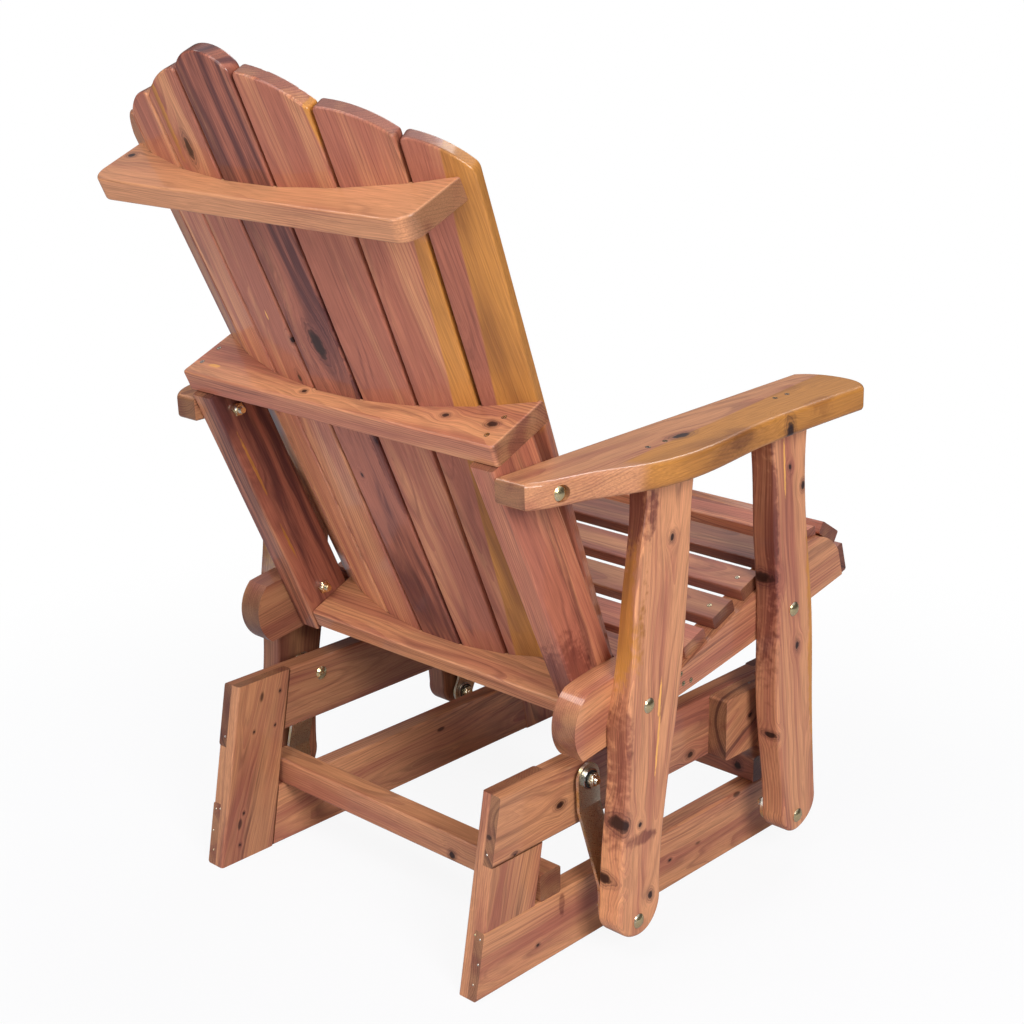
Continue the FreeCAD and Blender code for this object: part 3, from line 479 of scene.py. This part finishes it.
def islands(name):
    """Points, low corner and high corner of each loose solid of a node."""
    bm = bmesh.new()
    bm.from_mesh(frame["nodes"][name].data)
    bmesh.ops.remove_doubles(bm, verts=bm.verts, dist=merge_distance)
    left = dict.fromkeys(bm.verts)
    solids = []
    while left:
        found = [left.popitem()[0]]
        for vert in found:
            for edge in vert.link_edges:
                other = edge.other_vert(vert)
                if other in left:
                    del left[other]
                    found.append(other)
        points = np.array([vert.co for vert in found])
        solids.append((points, Vector(points.min(axis=0)), Vector(points.max(axis=0))))
    bm.free()
    return solids


def lathe(bm, profile, place, closed=False, finish=0, steps=48):
    """Turn a profile of distances along X and radii about an axis through a place."""
    verts = [bm.verts.new(Vector(place) + Vector((x, 0, r))) for x, r in profile]
    edges = [bm.edges.new(pair) for pair in zip(verts, verts[1:])]
    if closed:
        edges.append(bm.edges.new((verts[-1], verts[0])))
    before = set(bm.faces)
    bmesh.ops.spin(
        bm, geom=verts + edges, cent=place, axis=(1, 0, 0), dvec=(0, 0, 0), angle=2 * math.pi, steps=steps,
        use_merge=True, use_normal_flip=False, use_duplicate=False)
    made = [face for face in bm.faces if face not in before]
    for face in made:
        face.material_index = finish
    return made


def hardware_piece(name, slot, finishes, build, **options):
    """Replace a node of loose metal solids: build draws each of them from its points and corners."""
    bm = bmesh.new()
    for points, low, high in islands(name):
        build(bm, points, low, high, **options)
    bmesh.ops.remove_doubles(bm, verts=bm.verts, dist=1e-6)
    bmesh.ops.recalc_face_normals(bm, faces=bm.faces)
    piece = finish_piece(bm, name + "_metal", frame["nodes"][name]["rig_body"], finishes)
    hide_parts(name)


def dome_bolt(bm, points, low, high):
    """Dome head, plain shank and a thread at the tail, turned about the bolt's axis."""
    pitch = bpy.context.scene.glider_hardware.thread_pitch
    head_radius, head_rim, head_ease, dome_radius, dome_steps = 0.01, 0.001, 0.0003, 0.014, 10
    shank, thread_depth, thread_length, tail_ease = 0.005, 0.00065, 0.024, 0.001
    middle = (low + high) / 2
    reach = np.hypot(points[:, 1] - middle.y, points[:, 2] - middle.z)
    head = points[reach > 0.95 * head_radius][:, 0]
    out = 1 if abs(head.mean() - high.x) < abs(head.mean() - low.x) else -1
    seat = head.min() if out > 0 else head.max()
    tail = low.x if out > 0 else high.x
    length = abs(tail - seat)
    drop = math.sqrt(dome_radius ** 2 - head_radius ** 2)
    profile = []
    for i in range(dome_steps + 1):
        r = head_radius * i / dome_steps
        profile.append((head_rim - drop + math.sqrt(dome_radius ** 2 - r ** 2), r))
    profile += [(head_ease, head_radius), (0.0, head_radius - head_ease), (0.0, shank)]
    turns = int(thread_length / pitch)
    first = length - tail_ease - turns * pitch
    profile.append((-first, shank))
    for i in range(turns):
        profile.append((-first - (i + 0.5) * pitch, shank - thread_depth))
        profile.append((-first - (i + 1) * pitch, shank))
    profile += [(-length, shank - tail_ease), (-length, 0.0)]
    lathe(bm, [(out * x, r) for x, r in profile], (seat, middle.y, middle.z))


def hex_nut(bm, points, low, high, inward):
    """Hex lock nut with chamfered corners and a round collar, its seat turned inward or outward."""
    middle = (low + high) / 2
    out = math.copysign(1, middle.x) * (1 if inward else -1)
    seat = low.x if out > 0 else high.x
    height = high.x - low.x
    flats, corners, bore = 0.0085, 0.0098, 0.00502
    hexagon = 0.74 * height
    profile = [
        (0.0006, bore), (0.0, bore + 0.0006), (0.0, 0.0083), (0.0009, corners), (hexagon - 0.0009, corners),
        (hexagon, 0.0082), (hexagon, 0.0078), (height - 0.0012, 0.0076), (height - 0.0004, 0.0072),
        (height, 0.0064), (height, bore + 0.0004), (height - 0.0005, bore)]
    made = lathe(bm, [(out * x, r) for x, r in profile], (seat, middle.y, middle.z), closed=True)
    for vert in {vert for face in made for vert in face.verts}:
        offset = Vector((0, vert.co.y - middle.y, vert.co.z - middle.z))
        if offset.length > 0.97 * corners:
            angle = math.atan2(offset.y, offset.z)
            turned = (angle + math.pi / 6) % (math.pi / 3) - math.pi / 6
            grown = offset * (flats / math.cos(turned) / offset.length)
            vert.co.y, vert.co.z = middle.y + grown.y, middle.z + grown.z


def ball_bearing(bm, points, low, high):
    """Outer and inner ring with eased corners, and black seals set back between them."""
    middle = (low + high) / 2
    width = high.x - low.x
    bore = np.hypot(points[:, 1] - middle.y, points[:, 2] - middle.z).min()
    outer = (high.z - low.z) / 2
    seal_in, seal_out = bore + 0.3 * (outer - bore), bore + 0.78 * (outer - bore)
    place = (low.x, middle.y, middle.z)
    ease, seal_face, seal_back = 0.0004, 0.0007, 0.0015
    lathe(bm, [
        (ease, outer), (0, outer - ease), (0, seal_out), (width, seal_out), (width, outer - ease),
        (width - ease, outer)], place, closed=True)
    lathe(bm, [
        (ease, bore), (0, bore + ease), (0, seal_in), (width, seal_in), (width, bore + ease),
        (width - ease, bore)], place, closed=True)
    for first, second in ((seal_face, seal_back), (width - seal_back, width - seal_face)):
        lathe(bm, [
            (first, seal_in), (first, seal_out), (second, seal_out), (second, seal_in)],
            place, closed=True, finish=1)


def spacer(bm, points, low, high):
    """Short tube with eased corners."""
    middle = (low + high) / 2
    width = high.x - low.x
    bore = np.hypot(points[:, 1] - middle.y, points[:, 2] - middle.z).min()
    outer = (high.z - low.z) / 2
    ease = 0.0005
    lathe(bm, [
        (0, bore), (0, outer - ease), (ease, outer), (width - ease, outer), (width, outer - ease),
        (width, bore)], (low.x, middle.y, middle.z), closed=True)


def fasteners(name, body, places, radius, driven=True):
    """Heads of screws or nails sunk to the face of the wood nearest to each place.

    A place is the node it is on and a point. Screws have a dark rim, painted shadow round the sunk head,
    and a dark cross, painted shade in the head's recess; nails are plain.
    """
    # Each ring has its share of the radius, its height over the wood and its finish; finish 1 is the
    # painted shadow round the sunk head.
    rings = [(1.0, 0.00005, 0), (0.8, 0.0004, 0)]
    if driven:
        rings = [(1.0, 0.00005, 1), (0.8, 0.0003, 1), (0.62, 0.0002, 0), (0.4, 0.0004, 0)]
    furthest, sides = 0.05, 20
    arm_length, arm_width, arm_height = 1.1, 0.26, 0.03
    bm = bmesh.new()
    for holder, place in places:
        faces = bmesh.new()
        faces.from_mesh(frame["nodes"][holder].data)
        point, normal, index, distance = BVHTree.FromBMesh(faces).find_nearest(Vector(place))
        faces.free()
        if distance > furthest:
            raise RuntimeError("no face of " + holder + " near a place of " + name)
        turn = Matrix.Translation(point) @ normal.to_track_quat("Z", "Y").to_matrix().to_4x4()
        base = []
        for share, height, finish in rings:
            level = turn @ Matrix.Translation((0, 0, height))
            top = bmesh.ops.create_circle(bm, segments=sides, radius=radius * share, matrix=level)["verts"]
            if base:
                edges = dict.fromkeys(
                    edge for verts in (base, top) for vert in verts for edge in vert.link_edges if all(
                        end in verts for end in edge.verts))
                for face in bmesh.ops.bridge_loops(bm, edges=list(edges))["faces"]:
                    face.material_index = finish
            base = top
        bmesh.ops.contextual_create(bm, geom=base)
        if driven:
            # The dark cross is painted shade in the recess of the head.
            for size in ((arm_length, arm_width, arm_height), (arm_width, arm_length, arm_height)):
                shape = level @ Matrix.Diagonal((*size, 1))
                slot = bmesh.ops.create_cube(bm, size=radius, matrix=shape)["verts"]
                for face in {face for vert in slot for face in vert.link_faces}:
                    face.material_index = 1
    bmesh.ops.recalc_face_normals(bm, faces=bm.faces)
    finish_piece(bm, name, body, ["zinc", "hole"])


class GliderBaseFrames(bpy.types.Operator):
    """Rails, posts, stretchers and stop blocks of the base, with their nails"""

    bl_idname = "glider.base_frames"
    bl_label = "Base frames"

    def execute(self, context):
        # Negative light darkens a whole board, partly as painted shade where it stands in shade; positive
        # light brightens it, partly as painted light; dusk patches are partly painted shade.
        board("base_top_rail_left", 1.0, light=-0.36, pins=0.4, pith=(0.01, -0.06))
        board("base_top_rail_right", 2.0, depth=0.03, red=-0.04, light=-0.12, pins=0.4,
              pith=(0.01, -0.06), knots=[
            ((-0.265, 0.1396, 0.2106), 0.009, 1.5), ((-0.265, 0.2224, 0.1741), 0.003, 1.5),
            ((-0.265, -0.1245, 0.1853), 0.007, 1.6)])
        board("base_bottom_rail_left", 3.0, red=-0.04, pins=0.5, pith=(-0.02, 0.05))
        board("base_bottom_rail_right", 4.0, depth=0.01, red=-0.05, light=-0.02, pins=0.35,
              pith=(-0.02, 0.05), knots=[
            ((-0.265, 0.1824, 0.0307), 0.004, 1.5), ((-0.265, -0.0845, 0.0423), 0.004, 1.5)], dusk=[
            ((-0.265, 0.1366, 0.0681), (0.006, 0.016, 0.02))])
        board("base_rear_post_left", 5.0, depth=0.01, red=-0.02, light=-0.2, pins=0.4,
              pith=(0.03, -0.04), knots=[
            ((0.234, 0.2249, 0.1863), 0.003, 1.3), ((0.234, 0.187, 0.1841), 0.003, 1.3),
            ((0.234, 0.1747, 0.2324), 0.003, 1.3), ((0.234, 0.2511, 0.0703), 0.003, 1.3),
            ((0.234, 0.2617, 0.0241), 0.003, 1.3)])
        board("base_rear_post_right", 6.0, depth=0.01, red=-0.02, light=-0.12, pins=0.3,
              pith=(0.03, -0.04), gold=[
            ((-0.265, 0.165, 0.13), (0.04, 0.005, 0.03))])
        board("base_front_post_left", 7.0, pith=(0.02, -0.05))
        board("base_front_post_right", 8.0, pith=(0.02, -0.05))
        board("stop_block_left", 9.0, depth=0.04)
        board("stop_block_right", 10.0, depth=0.08, red=-0.05, light=-0.12, knots=[
            ((-0.295, -0.2184, 0.2218), 0.006, 1.4)])
        board("rear_stretcher", 11.0, depth=-0.01, light=-0.16, pins=0.5, knots=[
            ((-0.1083, 0.1773, 0.0988), 0.006, 1.5)])
        board("front_stretcher", 12.0, light=-0.3, pins=0.3, knots=[
            ((-0.2381, -0.2728, 0.1082), 0.007, 1.5)])
        nails = []
        for side in (-1, 1):
            name = "right" if side < 0 else "left"
            for x, y, z in ((0.2501, 0.2797, 0.0824), (0.2591, 0.2803, 0.0794), (0.2607, 0.2862, 0.0479),
                            (0.2565, 0.2914, 0.0205)):
                nails.append(("base_bottom_rail_" + name, (side * x, y, z)))
            nails.append(("base_top_rail_" + name, (side * 0.254, 0.2603, 0.1855)))
            nails.append(("stop_block_" + name, (side * 0.2802, -0.2345, 0.26)))
        fasteners("base_nails", "base", nails, context.scene.glider_hardware.nail_head, driven=False)
        return {"FINISHED"}


class GliderArmPosts(bpy.types.Operator):
    """Live-edged posts under the arms"""

    bl_idname = "glider.arm_posts"
    bl_label = "Arm posts"

    def execute(self, context):
        # Negative light darkens a whole board, partly as painted shade where it stands in shade; positive
        # light brightens it, partly as painted light; dusk patches are partly painted shade.
        board("arm_post_rear_left", 13.0, light=-0.48, gold=[((0.327, 0.09, 0.46), (0.1, 0.016, 0.03))])
        board("arm_post_rear_right", 14.0, depth=-0.1, red=-0.1, light=0.09, pith=(-0.02, -0.07), knots=[
            ((-0.3417, 0.1145, 0.1999), 0.012, 1.5), ((-0.3205, 0.1215, 0.1213), 0.009, 1.4),
            ((-0.351, 0.032, 0.5559), 0.006, 1.4), ((-0.351, 0.0653, 0.0851), 0.008, 1.4),
            ((-0.351, 0.0869, 0.1923), 0.006, 1.2)], gold=[
            ((-0.327, 0.088, 0.46), (0.1, 0.014, 0.03))], pale=[
            ((-0.351, 0.0506, 0.35), (0.025, 0.0025, 0.02)),
            ((-0.351, 0.0535, 0.295), (0.045, 0.002, 0.02))], dusk=[
            ((-0.318, 0.072, 0.60), (0.06, 0.014, 0.05)), ((-0.33, 0.122, 0.25), (0.11, 0.016, 0.05)),
            ((-0.351, 0.085, 0.172), (0.01, 0.03, 0.02))])
        board("arm_post_front_left", 15.0, light=-0.42)
        board("arm_post_front_right", 16.0, depth=-0.08, red=-0.04, light=0.06, pith=(-0.02, -0.07), knots=[
            ((-0.351, -0.2109, 0.5894), 0.005, 1.4), ((-0.351, -0.2421, 0.5579), 0.008, 1.4),
            ((-0.3262, -0.1919, 0.438), 0.011, 1.3), ((-0.351, -0.2427, 0.3329), 0.007, 1.4),
            ((-0.3362, -0.2083, 0.2079), 0.006, 1.4)], gold=[
            ((-0.351, -0.268, 0.42), (0.12, 0.01, 0.04)),
            ((-0.351, -0.281, 0.27), (0.12, 0.009, 0.04))], pale=[
            ((-0.351, -0.199, 0.59), (0.05, 0.002, 0.02))], dusk=[
            ((-0.33, -0.178, 0.50), (0.22, 0.014, 0.06))])
        return {"FINISHED"}


class GliderArms(bpy.types.Operator):
    """Arms with a live outer edge, and the screws that hold them to the posts"""

    bl_idname = "glider.arms"
    bl_label = "Arms"

    def execute(self, context):
        # Negative light darkens a whole board, partly as painted shade where it stands in shade; positive
        # light brightens it, partly as painted light; dusk patches are partly painted shade.
        board("arm_left", 17.0, depth=-0.08, red=-0.15, light=-0.3, pith=(-0.01, -0.06),
              sap=((0.376, 0.07, 0.67), (0.366, -0.22, 0.68), 1))
        board("arm_right", 18.0, depth=-0.1, red=-0.1, light=-0.12, pith=(0.02, -0.09),
              sap=((-0.35, 0.07, 0.67), (-0.322, -0.22, 0.68), -1), stop=((-0.38, 0.125, 0.66), -1), knots=[
            ((-0.3854, -0.158, 0.6494), 0.01, 1.3), ((-0.3417, 0.0021, 0.675), 0.011, 2.4)], dusk=[
            ((-0.391, -0.049, 0.667), (0.03, 0.02, 0.012)),
            ((-0.3836, -0.2242, 0.6812), (0.03, 0.008, 0.02))])
        screws = []
        for side in (-1, 1):
            for x, y, z in ((0.3394, 0.0653, 0.6733), (0.3401, 0.0344, 0.6741), (0.3334, -0.1976, 0.6806),
                            (0.3345, -0.2223, 0.6813)):
                screws.append(("arm_right" if side < 0 else "arm_left", (side * x, y, z)))
        fasteners("arm_screws", "seat", screws, context.scene.glider_hardware.screw_head)
        return {"FINISHED"}


class GliderSeat(bpy.types.Operator):
    """Seat rails, seat slats, nose slat and apron, with their screws"""

    bl_idname = "glider.seat"
    bl_label = "Seat"

    def execute(self, context):
        # Negative light darkens a whole board, partly as painted shade where it stands in shade; positive
        # light brightens it, partly as painted light.
        board("seat_rail_left", 19.0, light=-0.38)
        board("seat_rail_right", 20.0, light=0.02)
        screw_reach, over = 0.286, 0.02
        screws = []
        slats = ["seat_slat_%d" % i for i in range(1, 7)] + ["front_nose_slat", "front_apron_slat"]
        # Light levels of the seat slats: partly how light their wood is, partly painted shade where
        # negative and painted light where positive.
        lights = (0.1, 0.3, -0.3, -0.15, -0.42, 0.45, 0.0, -0.05)
        for i, name in enumerate(slats):
            board(name, 21.0 + i, depth=0.02, red=0.08, light=lights[i], pins=0.35,
                  pith=(0.05 - 0.02 * i, -0.06))
            middle, along, across, through = grain_axes(frame["nodes"][name].data)
            outward = through if through.z > 0 else -through
            for side in (-1, 1):
                screws.append((name, middle + along * (side * screw_reach) + outward * over))
        for x, y, z in ((0.313, -0.0395, 0.3445), (0.313, -0.045, 0.3295), (0.313, -0.0606, 0.3294)):
            screws.append(("seat_rail_right", (-x, y, z)))
            screws.append(("seat_rail_left", (x, y, z)))
        fasteners("seat_screws", "seat", screws, context.scene.glider_hardware.screw_head)
        return {"FINISHED"}


class GliderBack(bpy.types.Operator):
    """Back uprights, fanned slats and braces, with their screws"""

    bl_idname = "glider.back"
    bl_label = "Back"

    def execute(self, context):
        # Negative light darkens a whole board, partly as painted shade where it stands in shade; positive
        # light brightens it, partly as painted light; dusk patches are partly painted shade.
        board("back_upright_left", 30.0, depth=0.14, red=0.15, light=-0.1, gold=[
            ((0.237, 0.1955, 0.566), (0.05, 0.0022, 0.02)), ((0.237, 0.1435, 0.449), (0.03, 0.002, 0.02))])
        board("back_upright_right", 31.0, depth=0.04, red=0.1, light=0.1, dusk=[
            ((-0.25, 0.11, 0.38), (0.07, 0.03, 0.05))])
        board("back_slat_1", 32.0, depth=-0.02)
        board("back_slat_2", 33.0, depth=-0.06, light=0.28, pins=0.15)
        board("back_slat_3", 34.0, depth=-0.03, red=0.1, light=0.08, knots=[
            ((0.0996, 0.3698, 1.0145), 0.013, 1.9), ((0.0523, 0.2711, 0.7802), 0.005, 1.6),
            ((0.0731, 0.2441, 0.7244), 0.006, 1.5)], gold=[
            ((0.124, 0.385, 1.06), (0.06, 0.006, 0.03))], pale=[
            ((0.0886, 0.279, 0.808), (0.008, 0.0018, 0.02))])
        board("back_slat_4", 35.0, depth=0.14, red=0.28, light=0.02, knots=[
            ((0.0015, 0.2733, 0.7817), 0.019, 2.0), ((0.0247, 0.1905, 0.5957), 0.004, 1.4)], dusk=[
            ((-0.0329, 0.1953, 0.6081), (0.07, 0.01, 0.03))])
        board("back_slat_5", 36.0, depth=-0.03, red=0.16, light=-0.02,
              sap=((-0.1294, 0.3906, 1.0742), (-0.1328, 0.3653, 1.0304), -1))
        board("back_slat_6", 37.0, red=0.14, light=-0.04, stop=((-0.19, 0.31, 0.945), -1),
              sap=((-0.1994, 0.2958, 0.9096), (-0.1753, 0.2244, 0.7361), -1))
        board("back_slat_7", 38.0, depth=-0.02, red=0.16, light=-0.12, stop=((-0.22, 0.19, 0.7), 1),
              sap=((-0.2661, 0.3235, 1.0308), (-0.2294, 0.2054, 0.739), -1))
        board("upper_brace", 39.0, depth=-0.14, red=-0.2, light=-0.06, pith=(0.03, -0.12), knots=[
            ((0.26, 0.3383, 0.9942), 0.007, 1.7)])
        board("middle_brace", 40.0, depth=-0.01, light=0.04, knots=[
            ((0.0593, 0.2502, 0.7112), 0.005, 1.5), ((-0.1743, 0.2354, 0.7177), 0.006, 1.5),
            ((-0.247, 0.2324, 0.7191), 0.0085, 1.5)], pale=[
            ((0.244, 0.2445, 0.7137), (0.012, 0.003, 0.02))])
        board("lower_brace", 41.0, depth=0.01, red=-0.08, light=-0.03, pins=0.2)
        screws = [("middle_brace", place) for place in (
            (0.2745, 0.2132, 0.7277), (0.2738, 0.2422, 0.7147), (-0.2528, 0.2183, 0.7254),
            (-0.255, 0.2494, 0.7115))]
        screw_offset, before = 0.02, 0.03
        for i in range(1, 8):
            name = "back_slat_%d" % i
            middle, along, across, through = grain_axes(frame["nodes"][name].data)
            front = through if through.y < 0 else -through
            for brace in ("upper_brace", "middle_brace", "lower_brace"):
                level = (grain_axes(frame["nodes"][brace].data)[0] - middle).dot(along)
                for side in (-1, 1):
                    aside = across * (side * screw_offset)
                    screws.append((name, middle + along * level + aside + front * before))
        fasteners("back_screws", "seat", screws, context.scene.glider_hardware.screw_head)
        return {"FINISHED"}


class GliderLinks(bpy.types.Operator):
    """Steel links and their bearings"""

    bl_idname = "glider.links"
    bl_label = "Links"

    def execute(self, context):
        for end in ("rear", "front"):
            for side in ("left", "right"):
                name = "glide_link_%s_%s" % (end, side)
                source = frame["nodes"][name]
                bm = bmesh.new()
                bm.from_mesh(source.data)
                bmesh.ops.remove_doubles(bm, verts=bm.verts, dist=merge_distance)
                piece = finish_piece(bm, name + "_metal", source["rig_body"], ["strap"])
                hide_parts(name)
                bearings = "link_bearings_%s_%s" % (end, side)
                hardware_piece(bearings, "bearing_steel", ["bearing", "seal"], ball_bearing)
        return {"FINISHED"}


class GliderBolts(bpy.types.Operator):
    """Dome bolts, lock nuts and spacers"""

    bl_idname = "glider.bolts"
    bl_label = "Bolts"

    def execute(self, context):
        plated = ("yellow_zinc_steel", ["zinc"])
        for kind in ("upper_pivot", "lower_pivot", "rear_post", "front_post", "arm"):
            hardware_piece(kind + "_bolts", *plated, dome_bolt)
        for kind in ("upper_pivot", "lower_pivot"):
            hardware_piece(kind + "_spacers", *plated, spacer)
        hardware_piece("upper_pivot_nuts", *plated, hex_nut, inward=True)
        hardware_piece("seat_nuts", *plated, hex_nut, inward=False)
        return {"FINISHED"}


class GliderStage(bpy.types.Operator):
    """Camera, lamps, world and floor"""

    bl_idname = "glider.stage"
    bl_label = "Studio"

    def execute(self, context):
        scene = context.scene
        studio = scene.glider_studio
        camera = bpy.data.cameras.new("camera")
        camera.lens = studio.lens
        camera.sensor_width = 36.0
        camera.clip_end = 200.0
        viewer = bpy.data.objects.new("camera", camera)
        scene.collection.objects.link(viewer)
        back = -Vector(studio.sight).normalized()
        right = Vector(studio.level)
        right = (right - back * right.dot(back)).normalized()
        turned = Matrix((right, back.cross(right), back)).transposed()
        viewer.matrix_world = Matrix.Translation(studio.camera_place) @ turned.to_4x4()
        scene.camera = viewer
        scene.view_settings.view_transform = "Standard"

        # Each lamp has its name, its place, the point it looks at, its width and its power.
        lamps = (
            ("key", (-3.4, 1.4, 2.4), (0, 0, 0.5), 1.6, 135.0),
            ("rear_fill", (0.6, 3.6, 0.7), (0, 0, 0.5), 2.2, 52.0),
            ("top", (-0.3, 2.3, 3.6), (0, 0, 0.6), 1.8, 55.0),
            ("front_top", (0.7, -2.3, 3.6), (0, 0, 0.6), 1.8, 60.0),
            ("edge_glint", (1.7, 1.45, 2.6), (0, 0.2, 0.8), 0.6, 8.0))
        for name, place, target, size, power in lamps:
            lamp = bpy.data.lights.new(name, "AREA")
            lamp.size = size
            lamp.energy = power
            holder = bpy.data.objects.new(name, lamp)
            scene.collection.objects.link(holder)
            aim = Vector(target) - Vector(place)
            turned = aim.to_track_quat("-Z", "Y").to_matrix().to_4x4()
            holder.matrix_world = Matrix.Translation(place) @ turned

        world = bpy.data.worlds.new("studio")
        scene.world = world
        world.use_nodes = True
        tree = world.node_tree
        tree.nodes.clear()
        # In glossy faces the room is bright only overhead, to the camera it is white.
        rays = node(tree, "LightPath", out=None)
        direction = node(tree, "TexCoord", out="Generated")
        height = node(tree, "SeparateXYZ", {0: direction}, out=2)
        overhead = node(tree, "MapRange", {0: height, 1: 0.4, 2: 0.75, 3: 0.1, 4: studio.mirrored})
        level = node(tree, "MapRange", {0: rays["Is Glossy Ray"], 3: studio.ambient, 4: overhead})
        room = node(tree, "Background", {"Color": (*studio.ambient_colour, 1), "Strength": level})
        white = node(tree, "Background", {"Color": (1, 1, 1, 1), "Strength": 1.0})
        sky = node(tree, "MixShader", {0: rays["Is Camera Ray"], 1: room, 2: white})
        node(tree, "OutputWorld", {"Surface": sky}, out=None)

        bm = bmesh.new()
        floor_radius = 70.0
        bmesh.ops.create_circle(bm, cap_ends=True, segments=96, radius=floor_radius)
        mesh = bpy.data.meshes.new("floor")
        bm.to_mesh(mesh)
        bm.free()
        floor = bpy.data.objects.new("floor", mesh)
        scene.collection.objects.link(floor)
        paper, tree = empty_material("white_paper_floor")
        # Near the chair the paper takes its shadow, further out it is plain white to the camera.
        near, far, near_share = 0.5, 1.5, 0.91
        place = node(tree, "TexCoord", out="Object")
        away = node(tree, "VectorMath", {0: place}, out="Value", operation="LENGTH")
        white = node(tree, "MapRange", {0: away, 1: near, 2: far, 3: near_share, 4: 1.0}, **smooth)
        rays = node(tree, "LightPath", out=None)
        share = node(tree, "Math", {0: rays["Is Camera Ray"], 1: white}, operation="MULTIPLY")
        # In the varnish the paper shows dimmer, so that the wood keeps its colour.
        paper_shade, mirrored_shade = (*linear("#D4D3DC"), 1), (*linear("#A19FA4"), 1)
        shade = node(tree, "Mix", {0: rays["Is Glossy Ray"], 6: paper_shade, 7: mirrored_shade}, **blend)
        matt = node(tree, "BsdfDiffuse", {"Color": shade})
        glow = node(tree, "Emission", {"Color": (1, 1, 1, 1), "Strength": 1.0})
        mixed = node(tree, "MixShader", {0: share, 1: matt, 2: glow})
        node(tree, "OutputMaterial", {"Surface": mixed}, out=None)
        mesh.materials.append(paper)
        return {"FINISHED"}


class GliderPanel(bpy.types.Panel):
    """Lists the operators that dress the glider"""

    bl_idname = "VIEW3D_PT_glider"
    bl_label = "Adirondack glider"
    bl_space_type = "VIEW_3D"
    bl_region_type = "UI"
    bl_category = "Glider"

    def draw(self, context):
        for operator in operators:
            self.layout.operator(operator.bl_idname)
        for settings in groups:
            group = getattr(context.scene, settings)
            for key in group.__annotations__:
                self.layout.prop(group, key)


operators = (
    GliderBaseFrames, GliderArmPosts, GliderArms, GliderSeat, GliderBack, GliderLinks, GliderBolts,
    GliderStage)
groups = {"glider_cedar": GliderCedar, "glider_hardware": GliderHardware, "glider_studio": GliderStudio}


def register():
    for group in groups.values():
        bpy.utils.register_class(group)
    for key, group in groups.items():
        setattr(bpy.types.Scene, key, bpy.props.PointerProperty(type=group))
    for operator in operators:
        bpy.utils.register_class(operator)
    bpy.utils.register_class(GliderPanel)


def unregister():
    bpy.utils.unregister_class(GliderPanel)
    for operator in reversed(operators):
        bpy.utils.unregister_class(operator)
    for key in groups:
        delattr(bpy.types.Scene, key)
    for group in reversed(list(groups.values())):
        bpy.utils.unregister_class(group)


def main():
    register()
    look = bpy.context.scene.glider_hardware
    materials["cedar"] = cedar_material()
    materials["zinc"] = metal_material(
        "yellow_zinc_plated_steel", look.zinc, look.zinc_tint, look.zinc, 0.16, 0.28)
    materials["strap"] = metal_material(
        "yellow_zinc_plated_strap", look.zinc, look.zinc_tint, look.zinc_flat_shade, 0.24, 0.4)
    materials["bearing"] = metal_material(
        "ground_bearing_steel", look.steel, look.steel, look.steel, 0.14, 0.24)
    materials["seal"] = dark_material("black_rubber_seal", "#1A1A1B", 0.55)
    # Painted shade round sunk screw heads and in their recesses.
    materials["hole"] = dark_material("painted_screw_hole_shade", "#2A1712", 0.8)
    bpy.ops.glider.base_frames()
    bpy.ops.glider.arm_posts()
    bpy.ops.glider.arms()
    bpy.ops.glider.seat()
    bpy.ops.glider.back()
    bpy.ops.glider.links()
    bpy.ops.glider.bolts()
    bpy.ops.glider.stage()


if __name__ == "__main__":
    main()
